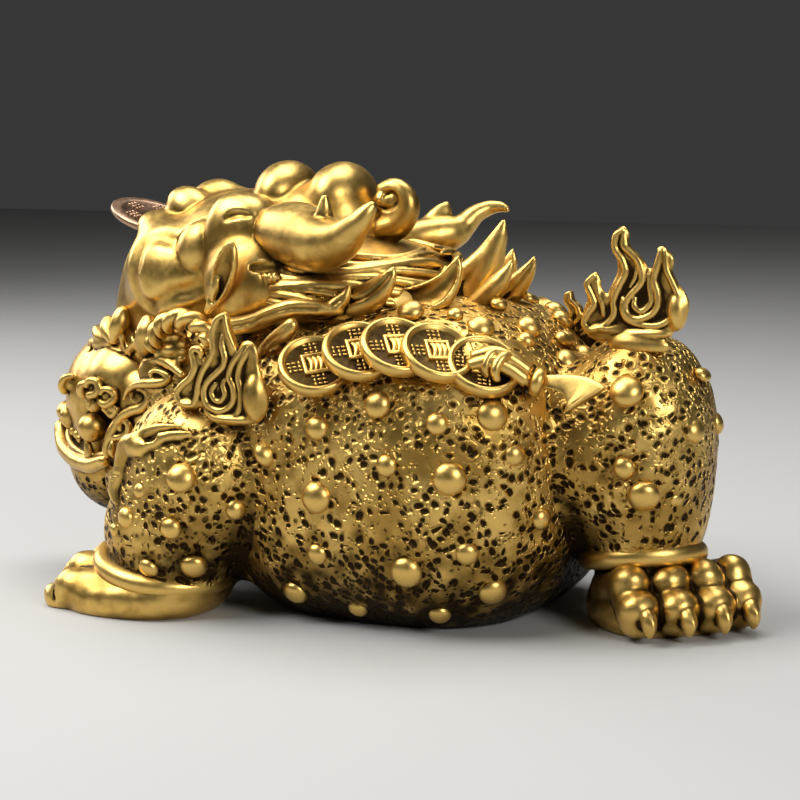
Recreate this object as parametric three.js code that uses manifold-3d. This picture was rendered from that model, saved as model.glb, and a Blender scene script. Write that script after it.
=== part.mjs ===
import * as THREE from 'three';
import { mergeVertices } from 'three/addons/utils/BufferGeometryUtils.js';
import Module from 'manifold-3d';

// Money toad figurine, millimetres. The toad looks towards -X, its left side is -Y, up is +Z.
// The soles and the belly rest on z = 0.

const wasm = await Module();
wasm.setup();

// Trunk: a rounded block with fuller shoulders than an ellipsoid
const TRUNK_CENTRE = [9, 0, 58];
const TRUNK_HALF = [75.5, 73, 66];
const TRUNK_POWER = 2.8;
// Front leg, left side; the right one is its mirror image
const SHOULDER_CENTRE = [-58, -57, 53];
const SHOULDER_HALF = [32, 29, 35];
const SHIN_CENTRE = [-70, -58, 32];
const SHIN_HALF = [28, 27, 26];
const FRONT_RING_CENTRE = [-74, -58, 17.5];
const FRONT_RING_RADIUS = 25.5;
const RING_BAR = 4;
// Single hind leg on the middle plane, its foot turned to the left
const HIP_CENTRE = [103, 0, 69];
const HIP_HALF = [27.5, 32, 43];
const HOCK_CENTRE = [103.5, 0, 40];
const HOCK_HALF = [22.5, 23, 28];
const HIND_RING_CENTRE = [104, 0, 25];
const HIND_RING_RADIUS = 20.5;
const HIND_FOOT_TURN = -42;
// Flames: outlines from left to right as x and z
const FLAME_THICKNESS = 6;
const HIND_FLAME = [
  [-21, 6], [-17, 0], [0, -4], [17, 0], [23, 8], [21, 17], [14, 24], [12, 32], [8, 26], [6, 17],
  [1, 24], [-1, 33], [-5, 41], [-8, 33], [-9, 25], [-9, 17], [-12, 15], [-16, 23], [-20, 17], [-17, 11],
];
const FRONT_FLAME = [
  [-21, 5], [-16, -1], [0, -4], [17, -1], [22, 8], [21, 18], [14, 26], [13, 32], [9, 26], [8, 18],
  [6, 27], [5, 36], [2, 43], [-2, 34], [-3, 25], [-6, 18], [-10, 21], [-12, 28], [-16, 22], [-15, 13],
];
// Heart of the spiral curl on the crown
const CURL_CENTRE = [-5.8, 0, 158.5];
// Coins of the strings
const COIN_RADIUS = 14;
const COIN_THICKNESS = 4.4;
const COIN_RIM = 2.2;
const COIN_HOLE = 4.2;
const COIN_DISH = 1.2;
// Loose coin held in the mouth, with the gap left around it
const MOUTH_COIN_CENTRE = [-115.4, 0, 150.3];
const MOUTH_COIN_RADIUS = 19;
const MOUTH_COIN_THICKNESS = 2.6;
const MOUTH_COIN_ROLL = 5;
const MOUTH_COIN_PITCH = 22;
const MOUTH_GAP = 0.3;
// Skins: width over which masses flow together, length of a ray, and share of the rings on each end
const BLEND = 9;
const SKIN_REACH = 110;
const END_SHARE = 0.25;

const DEGREE = Math.PI / 180;

// A closed three.js geometry as a solid for joining and cutting.
function solid(geometry) {
  const copy = geometry.clone();
  copy.deleteAttribute('normal');
  copy.deleteAttribute('uv');
  const merged = mergeVertices(copy, 1e-4);
  const mesh = new wasm.Mesh({
    numProp: 3,
    vertProperties: new Float32Array(merged.attributes.position.array),
    triVerts: new Uint32Array(merged.index.array),
  });
  return new wasm.Manifold(mesh);
}

function joined(solids) {
  return solids.reduce((whole, next) => whole.add(next));
}

// The same shape on the other side of the middle plane.
function mirrored(shape) {
  return shape.mirror([0, 1, 0]);
}

function bothSides(shape) {
  return joined([shape, mirrored(shape)]);
}

// One rounded mass of a skin: centre, half sizes, a power of 2 for an ellipsoid or more for a block,
// and a lean in degrees about the Y axis.
function mass(centre, half, lean = 0, power = 2) {
  return { centre, half, cosine: Math.cos(lean * DEGREE), sine: Math.sin(lean * DEGREE), power };
}

// The same masses together with their mirror images.
function paired(masses) {
  const others = masses.map((m) => ({ ...m, centre: [m.centre[0], -m.centre[1], m.centre[2]] }));
  return [...masses, ...others];
}

// Rough distance from a place to one mass, below zero inside it.
function depth(m, x, y, z) {
  const dx = x - m.centre[0];
  const dz = z - m.centre[2];
  const a = Math.abs(dx * m.cosine - dz * m.sine) / m.half[0];
  const b = Math.abs(y - m.centre[1]) / m.half[1];
  const c = Math.abs(dx * m.sine + dz * m.cosine) / m.half[2];
  const size = (a ** m.power + b ** m.power + c ** m.power) ** (1 / m.power);
  return (size - 1) * Math.min(...m.half);
}

// Distance to all masses, flowing into one another over a width of BLEND.
function field(masses, x, y, z) {
  let nearest = 1e6;
  for (const m of masses) {
    const next = depth(m, x, y, z);
    const share = Math.max(BLEND - Math.abs(nearest - next), 0) / BLEND;
    nearest = Math.min(nearest, next) - (share * share * BLEND) / 4;
  }
  return nearest;
}

// Closed skin over the masses, met by rays that leave a core line squarely and fan out at its ends.
function skin(masses, from, to, rounds, around) {
  const start = new THREE.Vector3(...from);
  const end = new THREE.Vector3(...to);
  const along = end.clone().sub(start).normalize();
  const side = new THREE.Vector3(0, 1, 0);
  const top = new THREE.Vector3().crossVectors(along, side);
  const places = [];
  const meet = (root, way) => {
    let far = SKIN_REACH;
    while (far > 0.5 && field(masses, ...root.clone().addScaledVector(way, far).toArray()) > 0) {
      far -= 1.5;
    }
    let near = far;
    far += 1.5;
    for (let i = 0; i < 12; i += 1) {
      const half = (near + far) / 2;
      if (field(masses, ...root.clone().addScaledVector(way, half).toArray()) > 0) {
        far = half;
      } else {
        near = half;
      }
    }
    places.push(...root.clone().addScaledVector(way, near).toArray());
  };
  for (let i = 1; i < rounds; i += 1) {
    const share = i / rounds;
    const slide = Math.min(Math.max((share - END_SHARE) / (1 - 2 * END_SHARE), 0), 1);
    const fan = Math.min(share / END_SHARE, 1) - Math.max((share - 1 + END_SHARE) / END_SHARE, 0);
    const tilt = (share < 0.5 ? fan : 2 - fan) * (Math.PI / 2);
    const root = start.clone().lerp(end, slide);
    for (let j = 0; j < around; j += 1) {
      const angle = (2 * Math.PI * (j + 0.5)) / around;
      const way = along.clone().multiplyScalar(-Math.cos(tilt));
      way.addScaledVector(side, Math.sin(tilt) * Math.cos(angle));
      way.addScaledVector(top, Math.sin(tilt) * Math.sin(angle));
      meet(root, way);
    }
  }
  meet(start, along.clone().negate());
  meet(end, along);
  return closedSolid(places, tubeFaces(rounds - 1, around));
}

// Faces of a tube of rings with one closing point before and one after them.
function tubeFaces(rings, around) {
  const faces = [];
  const first = rings * around;
  const last = first - around;
  for (let j = 0; j < around; j += 1) {
    const next = (j + 1) % around;
    for (let i = 0; i < last; i += around) {
      faces.push(i + j, i + next, i + around + next, i + j, i + around + next, i + around + j);
    }
    faces.push(first, next, j);
    faces.push(first + 1, last + j, last + next);
  }
  return faces;
}

// Small ellipsoid at a centre and turned by degrees about X, Y and Z.
function blob(centre, half, turn = [0, 0, 0], columns = 6, rows = 4) {
  const geometry = new THREE.SphereGeometry(1, columns, rows);
  geometry.rotateX(Math.PI / 2);
  geometry.scale(half[0], half[1], half[2]);
  geometry.applyMatrix4(turned(turn));
  geometry.translate(centre[0], centre[1], centre[2]);
  return solid(geometry);
}

function turned(turn) {
  const angles = new THREE.Euler(turn[0] * DEGREE, turn[1] * DEGREE, turn[2] * DEGREE, 'ZYX');
  return new THREE.Matrix4().makeRotationFromEuler(angles);
}

// Tapering bar along a smooth line through points, each [x, y, z, radius]; its ends close to a point.
// Flat below 1 squeezes the section along the given direction.
function bar(stations, sides = 5, steps = 4, flat = 1, squeeze = [0, 1, 0]) {
  const line = new THREE.CatmullRomCurve3(stations.map((s) => new THREE.Vector3(s[0], s[1], s[2])));
  const axis = new THREE.Vector3(...squeeze);
  const places = [];
  for (let i = 0; i <= steps; i += 1) {
    const share = i / steps;
    const centre = line.getPoint(share);
    const ahead = line.getTangent(share);
    const across = new THREE.Vector3().crossVectors(ahead, axis).normalize();
    const up = new THREE.Vector3().crossVectors(across, ahead).normalize();
    const radius = radiusAt(stations, share);
    for (let j = 0; j < sides; j += 1) {
      const angle = (2 * Math.PI * j) / sides;
      const spot = centre.clone();
      spot.addScaledVector(across, radius * Math.cos(angle));
      spot.addScaledVector(up, flat * radius * Math.sin(angle));
      places.push(spot.x, spot.y, spot.z);
    }
  }
  for (const [share, step] of [[0, -1], [1, 1]]) {
    const tip = line.getPoint(share);
    tip.addScaledVector(line.getTangent(share), step * radiusAt(stations, share) * 0.5);
    places.push(tip.x, tip.y, tip.z);
  }
  return closedSolid(places, tubeFaces(steps + 1, sides));
}

function radiusAt(stations, share) {
  const place = share * (stations.length - 1);
  const i = Math.min(Math.floor(place), stations.length - 2);
  const part = place - i;
  return stations[i][3] * (1 - part) + stations[i + 1][3] * part;
}

function closedSolid(places, faces) {
  const geometry = new THREE.BufferGeometry();
  geometry.setAttribute('position', new THREE.Float32BufferAttribute(places, 3));
  geometry.setIndex(faces);
  const shape = solid(geometry);
  if (shape.volume() > 0) {
    return shape;
  }
  const swapped = faces.map((_, i) => faces[i - (i % 3) + [0, 2, 1][i % 3]]);
  geometry.setIndex(swapped);
  return solid(geometry);
}

// Smooth closed outline in the XZ plane, cut from a flat plate and placed.
function plate(outline, thickness, centre) {
  const line = new THREE.CatmullRomCurve3(outline.map(([x, z]) => new THREE.Vector3(x, z, 0)), true);
  const points = line.getPoints(outline.length).slice(0, -1);
  const shape = new THREE.Shape(points.map((p) => new THREE.Vector2(p.x, p.y)));
  const geometry = new THREE.ExtrudeGeometry(shape, { depth: thickness, bevelEnabled: false });
  geometry.translate(0, 0, -thickness / 2);
  geometry.rotateX(Math.PI / 2);
  geometry.translate(centre[0], centre[1], centre[2]);
  return solid(geometry);
}

// Round bar bent into a ring and filled inside, where the leg runs through it.
function ring(centre, radius, turn) {
  const low = RING_BAR * 0.7;
  const profile = [[0, -low], [radius + low, -low], [radius + RING_BAR, 0], [radius + low, low], [0, low]];
  const geometry = new THREE.LatheGeometry(profile.map(([r, z]) => new THREE.Vector2(r, z)), 14);
  geometry.rotateX(Math.PI / 2);
  geometry.applyMatrix4(turned(turn));
  geometry.translate(centre[0], centre[1], centre[2]);
  return solid(geometry);
}

// How far the trunk's left face stands out at a place on the middle plane.
function trunkSide(x, z) {
  const alongX = Math.abs((x - TRUNK_CENTRE[0]) / TRUNK_HALF[0]) ** TRUNK_POWER;
  const alongZ = Math.abs((z - TRUNK_CENTRE[2]) / TRUNK_HALF[2]) ** TRUNK_POWER;
  return -TRUNK_HALF[1] * Math.max(0, 1 - alongX - alongZ) ** (1 / TRUNK_POWER);
}

function wart(centre, radius) {
  const squash = 0.92;
  const geometry = new THREE.SphereGeometry(radius, 5, 3);
  geometry.rotateX(Math.PI / 2);
  geometry.scale(1, squash, 1);
  geometry.translate(centre[0], centre[1], centre[2]);
  return solid(geometry);
}

function trunkMasses() {
  return [
    mass(TRUNK_CENTRE, TRUNK_HALF, 0, TRUNK_POWER),
    mass([-75, 0, 80], [38, 46, 46], 0, 2.2),
    mass([-106, 0, 46], [26, 38, 34]),
  ];
}

function trunk() {
  return skin(trunkMasses(), [-72, 0, 64], [42, 0, 62], 16, 18);
}

// Round warts on the flank: x, z and radius; the trunk's own surface gives y.
function flankWarts() {
  const spots = [
    [26, 88, 5.2], [2, 78, 4.6], [49, 82, 4.2], [66, 85, 6], [54, 62, 6.4], [2, 52, 6.2],
    [79, 45, 4.4], [37, 26, 6.2], [59, 34, 4.4], [64, 18, 5.6], [-14, 12, 5.2], [44, 8, 4.4],
  ];
  return spots.map(([x, z, radius]) => wart([x, trunkSide(x, z), z], radius));
}

// Warts on the back, each on its own place.
function backWarts() {
  return [
    wart([26, -42, 120], 5.2),
    wart([52, -36, 114.5], 5.4),
    wart([63, -16, 113.5], 5),
    wart([71, -2, 108], 3.6),
    wart([76, -9, 100], 5.6),
    wart([82.5, -17, 65.5], 6.2),
  ];
}

function legWarts() {
  return [
    wart([-30, -62, 64], 5.4),
    wart([-49, -85, 57.5], 5.8),
    wart([-54, -85, 37.5], 4.2),
    wart([-53, -80, 22], 5.4),
    wart([-77.5, -81, 24.5], 4.4),
    wart([-86.5, -72, 40.5], 4.6),
  ];
}

function hipWarts() {
  return [
    wart([104, -30, 91.5], 6.4),
    wart([127.5, -12, 77.5], 4.6),
    wart([115, -30, 55], 6),
    wart([108, -32, 65], 4.2),
  ];
}

// Front leg with its ankle ring and a foot of four toes pointing forward.
function frontLeg() {
  const toes = [
    [-76, -118, 7.5, 13],
    [-62, -122, 7.2, 17],
    [-48, -120, 7.2, 19],
    [-35, -114, 6.8, 18],
  ];
  const masses = [
    mass(SHOULDER_CENTRE, SHOULDER_HALF),
    mass(SHIN_CENTRE, SHIN_HALF),
    mass([-82, -60, 6], [33, 28, 12], -4, 2.4),
  ];
  const pieces = [
    skin(masses, [-74, -58, 8], [-58, -57, 58], 9, 11),
    ring(FRONT_RING_CENTRE, FRONT_RING_RADIUS, [6, 10, 0]),
  ];
  for (const [y, tip, radius, height] of toes) {
    const root = tip + 34;
    pieces.push(bar([
      [root, y, height - 3, radius],
      [tip + 14, y, height - 5, radius],
      [tip + 5, y, height - 10, radius * 0.8],
      [tip, y, 2.5, 2],
    ], 5, 3));
  }
  return joined(pieces);
}

// Hind leg with its ring and a foot of four clawed toes.
function hindLeg() {
  const toes = [[-14, 34, 7.4], [1.5, 37, 7.8], [17, 37, 7.8], [31.5, 34, 7.2]];
  const masses = [
    mass(HIP_CENTRE, HIP_HALF, 0, 2.2),
    mass(HOCK_CENTRE, HOCK_HALF),
    mass([82, 0, 66], [24, 33, 34]),
  ];
  const pieces = [
    skin(masses, [103.5, 0, 36], [103, 0, 82], 10, 12),
    ring(HIND_RING_CENTRE, HIND_RING_RADIUS, [0, 4, 0]),
  ];
  const foot = [skin([mass([3, 8, 8], [25, 29, 14], 0, 2.6)], [-4, 8, 8], [10, 8, 8], 5, 9)];
  for (const [across, tip, radius] of toes) {
    foot.push(bar([
      [tip - 34, across, 17, radius],
      [tip - 20, across, 19.5, radius],
      [tip - 11, across, 13, radius * 0.86],
      [tip - 7, across, 9, radius * 0.8],
    ], 5, 3));
    foot.push(bar([
      [tip - 13, across, 11, 4.2],
      [tip - 5, across, 9, 4.4],
      [tip, across, 1.5, 0.8],
    ], 4, 2));
  }
  const placed = joined(foot).rotate([0, 0, HIND_FOOT_TURN]).translate([HIND_RING_CENTRE[0], 0, 0]);
  return joined([...pieces, placed]);
}

// Flame of three curling tongues over a round swelling, standing square to the Y axis.
function flame(outline, scale, centre) {
  const sized = outline.map(([x, z]) => [x * scale, z * scale]);
  const heart = [centre[0] + 3 * scale, centre[1], centre[2] + 6 * scale];
  const swell = blob(heart, [16 * scale, 6 * scale, 9 * scale]);
  return plate(sized, FLAME_THICKNESS * scale, centre).add(swell);
}

// Coin with a raised rim, a dished field and a raised square frame, its face turned to a direction.
function coin(centre, facing) {
  const half = COIN_THICKNESS / 2;
  const profile = [
    [0, -half], [COIN_RADIUS, -half], [COIN_RADIUS, half], [COIN_RADIUS - COIN_RIM, half], [0, half - COIN_DISH],
  ];
  const disc = new THREE.LatheGeometry(profile.map(([r, z]) => new THREE.Vector2(r, z)), 11);
  disc.rotateX(Math.PI / 2);
  const frame = new THREE.BoxGeometry(COIN_HOLE * 2, COIN_HOLE * 2, 1.2);
  frame.translate(0, 0, half - 0.7);
  const way = new THREE.Vector3(...facing).normalize();
  const turn = new THREE.Quaternion().setFromUnitVectors(new THREE.Vector3(0, 0, 1), way);
  const place = new THREE.Matrix4().makeRotationFromQuaternion(turn).setPosition(...centre);
  return solid(disc).add(solid(frame)).transform(place.elements.slice());
}

// Five overlapping coins, a knot, a small ring and a flared tassel along the left flank.
function coinString() {
  const coins = [
    [[-3, -67, 100], [0.35, -0.5, 0.8]],
    [[11.8, -64, 107], [0.4, -0.46, 0.8]],
    [[27.1, -61.5, 109.7], [0.46, -0.42, 0.78]],
    [[43.9, -57, 108.3], [0.52, -0.38, 0.76]],
    [[61.5, -49, 102], [0.55, -0.33, 0.76]],
  ];
  return joined([
    ...coins.map(([centre, facing]) => coin(centre, facing)),
    bar([[63, -50, 102, 4.5], [70, -47, 100, 5.5], [76, -45, 97.5, 3]], 5, 3),
    bar([[76, -45, 97.5, 3.4], [78.5, -44, 96.5, 4.2], [81, -43, 95.8, 3.2]], 5, 2),
    bar([[79, -43, 96, 3.4], [87, -40, 94, 6.5], [96, -36, 91, 9], [99, -35, 90, 4]], 6, 3, 0.5, [0, -0.8, 0.6]),
  ]);
}

// Broad head looking up and forward, with its swellings, eyes, ears and horns.
function head() {
  const masses = [
    mass([-91, 0, 122], [33, 36, 29], 20, 2.2),
    mass([-104, 0, 108], [25, 30, 24]),
    mass([-58, 0, 136], [42, 42, 27], 6, 2.2),
    mass([-20, 0, 122], [48, 50, 24], 6, 2.2),
    mass([-84, 0, 158], [12, 10, 9]),
    ...paired([
      mass([-91, -13, 156], [11, 8, 7], 30),
      mass([-98, -17, 144], [15, 13, 9], 30),
      mass([-82, -26, 122], [28, 20, 24], 20),
      mass([-56, -32, 144], [15, 13, 20], 20),
      mass([-36, -17, 161], [17, 15, 16]),
      mass([-45.5, -42, 127.5], [18, 13, 19], 10),
    ]),
  ];
  const left = [
    blob([-71, -35.5, 140.5], [9, 7.5, 11.5], [0, 25, 0]),
    horn(),
    bar([[-6, -50, 148, 4], [-4.5, -52.5, 157, 3], [-4.5, -53, 163, 1]], 5, 2),
    bar([[-55, -50, 118, 2.5], [-49.5, -54, 127, 6.4], [-45.5, -54.5, 136, 5.6], [-42.5, -55, 145.5, 1.2]], 5, 4, 0.5),
  ];
  return joined([skin(masses, [-98, 0, 122], [-20, 0, 130], 15, 16), curl(), bothSides(joined(left))]);
}

function horn() {
  return bar([
    [-32, -36, 147, 11], [-20, -42, 147, 12.5], [-6, -51, 145, 10.5],
    [6, -58, 147, 7.5], [14, -61, 153, 4.5], [20, -61, 160, 1.2],
  ], 7, 6);
}

// One spiral curl standing on the crown, turning in the middle plane.
function curl() {
  const reaches = [12.5, 9.3, 6.5, 4.2, 2.8];
  const thick = [6.2, 5, 3.6, 2.6, 2];
  const stations = [[-24, 0, 142, 7], [-14, 0, 142, 7]];
  reaches.forEach((reach, i) => {
    const angle = (i - 1) * 90 * DEGREE;
    stations.push([CURL_CENTRE[0] + reach * Math.cos(angle), 0, CURL_CENTRE[2] + reach * Math.sin(angle), thick[i]]);
  });
  return bar(stations, 6, 12);
}

// Pointed locks of the mane, sweeping back and up; each runs from root to tip.
function mane() {
  const middle = [
    bar([[18, 0, 111.5, 9], [33, 0, 123, 8], [42, 0, 137, 5], [44.5, 0, 153.5, 1]], 5, 3, 0.6),
    bar([[24, 14, 112, 8], [41, 13, 121, 6.4], [53, 12, 136, 1]], 4, 3, 0.6),
  ];
  const left = [
    bar([[2, -26, 111.5, 9], [19, -27, 116, 9], [30, -26, 126, 6], [37, -25, 139, 1]], 5, 3, 0.6),
    bar([[-9.5, -38, 111.5, 7], [3, -39, 116, 7], [11, -38, 124, 5], [16, -37, 135, 1]], 5, 3, 0.7),
    bar([[-27.5, -44, 107.5, 6], [-14, -45, 112.5, 6], [-4.5, -45, 118.5, 4], [0, -45, 127, 1]], 4, 3, 0.8),
    bar([[-35, -54, 102.5, 3.4], [-27, -55, 109, 4.4], [-20, -56, 114.5, 3.4]], 5, 2),
    bar([[-59.5, -50, 114.5, 3.9], [-43, -51, 111.5, 5.4], [-27.5, -50, 116, 5.4], [-9, -45, 119, 3.9]], 5, 3),
  ];
  return joined([...middle, bothSides(joined(left))]);
}

// Ornamental beast face on the chest, with round curls, petals, nose and open mouth.
function chestFace() {
  const masses = [
    mass([-127, 0, 76.5], [28, 32, 28], -20),
    mass([-131.5, 0, 50], [24, 27, 26]),
    ...paired([
      mass([-154.5, -8, 55], [9, 9, 7.5]),
      mass([-141, -18, 57], [10, 9, 9.5]),
      mass([-113.5, -24, 104.5], [11, 9, 9]),
    ]),
  ];
  const lip = [[-138, -24, 49, 4], [-149, -15, 42, 4.4], [-155, 0, 41, 4.6], [-149, 15, 42, 4.4], [-138, 24, 49, 4]];
  const left = [
    blob([-145.5, -16, 69], [5, 5, 5], [0, 0, 0], 6, 4),
    blob([-138.5, -24, 76], [6, 5, 6], [0, 0, 0], 6, 4),
    blob([-126, -28, 78.5], [6, 5, 6], [0, 0, 0], 6, 4),
    blob([-118.5, -30, 70], [6, 5, 6], [0, 0, 0], 6, 4),
    bar([[-120, -22, 99.5, 4.1], [-128, -18, 107, 4.1], [-129, -14, 109, 1.6]], 4, 2),
    bar([[-126.5, -10, 95.5, 4.1], [-140, -7, 98, 4.1], [-145, -5, 100, 1.7]], 4, 2),
    bar([[-113.5, -38, 52, 5.1], [-95.5, -56, 58, 5.5], [-79, -72, 66, 3.4], [-66, -78, 72, 1.4]], 4, 4),
    bar([[-130.5, -24, 45.5, 4.1], [-117, -36, 52, 4.1], [-113, -40, 64, 4], [-106.5, -42, 76, 2.6]], 4, 4),
    bar([[-100.5, -34, 98.5, 3.5], [-90, -42, 106, 4], [-75.5, -48, 108.5, 4], [-61, -54, 102, 3.3]], 5, 4),
  ];
  return joined([skin(masses, [-126, 0, 74], [-128, 0, 50], 10, 11), bar(lip, 4, 6), bothSides(joined(left))]);
}

// The whole casting, cut flat below so that it stands on belly and feet.
function toad() {
  const leftSide = joined([frontLeg(), ...legWarts(), ...flankWarts(), coinString()]);
  const flames = joined([
    bothSides(flame(FRONT_FLAME, 0.89, [-38.5, -72, 80.6])),
    flame(HIND_FLAME, 0.95, [104.5, -14, 112]),
    flame(HIND_FLAME, 0.5, [66, 20, 108]),
  ]);
  const hip = joined([hindLeg(), bothSides(joined(hipWarts()))]);
  const whole = joined([
    trunk(), bothSides(leftSide), bothSides(joined(backWarts())), hip, flames, head(), mane(), chestFace(),
  ]);
  const below = new THREE.BoxGeometry(600, 600, 100);
  below.translate(0, 0, -50);
  return whole.subtract(solid(below)).subtract(mouthSlot());
}

function mouthCoinPlace() {
  return turned([MOUTH_COIN_ROLL, MOUTH_COIN_PITCH, 0]).setPosition(...MOUTH_COIN_CENTRE);
}

function mouthCoin() {
  const disc = new THREE.CylinderGeometry(MOUTH_COIN_RADIUS, MOUTH_COIN_RADIUS, MOUTH_COIN_THICKNESS, 40);
  disc.rotateX(Math.PI / 2);
  return solid(disc.applyMatrix4(mouthCoinPlace()));
}

// The slot between the lips that the loose coin sits in.
function mouthSlot() {
  const radius = MOUTH_COIN_RADIUS + MOUTH_GAP;
  const disc = new THREE.CylinderGeometry(radius, radius, MOUTH_COIN_THICKNESS + 2 * MOUTH_GAP, 40);
  disc.rotateX(Math.PI / 2);
  return solid(disc.applyMatrix4(mouthCoinPlace()));
}

function node(name, shape, colour, roughness) {
  const mesh = shape.getMesh();
  const geometry = new THREE.BufferGeometry();
  geometry.setAttribute('position', new THREE.Float32BufferAttribute(mesh.vertProperties, 3));
  geometry.setIndex(Array.from(mesh.triVerts));
  const material = new THREE.MeshStandardMaterial({ color: colour, metalness: 1, roughness });
  const made = new THREE.Mesh(geometry, material);
  made.name = name;
  return made;
}

const figurine = new THREE.Group();
figurine.add(node('toad', toad(), 0xb58a3a, 0.35));
figurine.add(node('mouth_coin', mouthCoin(), 0x8a5a3c, 0.45));

export default figurine;
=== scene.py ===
import math

import bpy
import numpy as np
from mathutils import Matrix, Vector


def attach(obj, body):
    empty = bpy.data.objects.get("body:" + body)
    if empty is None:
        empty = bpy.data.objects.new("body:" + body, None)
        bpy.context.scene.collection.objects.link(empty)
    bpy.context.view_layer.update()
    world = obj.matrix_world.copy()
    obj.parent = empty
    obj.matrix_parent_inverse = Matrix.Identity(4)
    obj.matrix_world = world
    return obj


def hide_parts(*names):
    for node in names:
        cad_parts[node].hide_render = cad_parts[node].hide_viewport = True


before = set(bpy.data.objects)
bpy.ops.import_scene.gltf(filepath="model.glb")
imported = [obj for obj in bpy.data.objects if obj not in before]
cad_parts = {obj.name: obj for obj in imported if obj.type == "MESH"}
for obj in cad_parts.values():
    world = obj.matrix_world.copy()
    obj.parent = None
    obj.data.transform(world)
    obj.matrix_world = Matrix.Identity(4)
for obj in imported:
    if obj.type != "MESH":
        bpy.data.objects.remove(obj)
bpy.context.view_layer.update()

MM = 0.001

# Lengths below are in millimetres: the toad looks along -X, its left side is -Y, and its belly rests at z = 0.


def level(y, *numbers):
    """Stations [x, y, z, radius] that share one y, from x, z and radius in turn."""
    x, z, radius = np.reshape(numbers, (-1, 3)).T
    return np.column_stack([x, 0 * x + y, z, radius])


def pairs(*numbers):
    """Places [x, z] from x and z in turn."""
    return np.reshape(numbers, (-1, 2))


# Steady noise


def scatter(cells, salt):
    """A steady number from 0 to 1 for each whole-number cell: its three numbers are multiplied and mixed by bits."""
    x, y, z = (cells[..., i].astype(np.uint32) for i in range(3))
    n = x * np.uint32(73856093) ^ y * np.uint32(19349663) ^ z * np.uint32(83492791) ^ np.uint32(salt * 7919 + 17)
    n = (n ^ (n >> np.uint32(13))) * np.uint32(1274126177)
    n = (n ^ (n >> np.uint32(16))) * np.uint32(2246822519)
    return ((n ^ (n >> np.uint32(15))) & np.uint32(0xFFFFFF)).astype(np.float64) / 0xFFFFFF


def corners(share):
    """The eight corners of a cell, each with the part that it has in a place at the given share of the cell."""
    for number in range(8):
        corner = np.array([number >> 2, number >> 1 & 1, number & 1])
        yield corner, np.prod(np.where(corner == 1, share, 1 - share), axis=-1)


def lumps(points, size, salt):
    """Soft noise from -1 to 1: steady numbers at the corners of cubes of the given size, mixed by eased shares."""
    place = points / size
    cell = np.floor(place).astype(np.int64)
    share = place - cell
    share = share * share * (3 - 2 * share)
    return sum(weight * scatter(cell + corner, salt) for corner, weight in corners(share)) * 2 - 1


# Clay: depths on a grid, below nought inside


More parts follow.
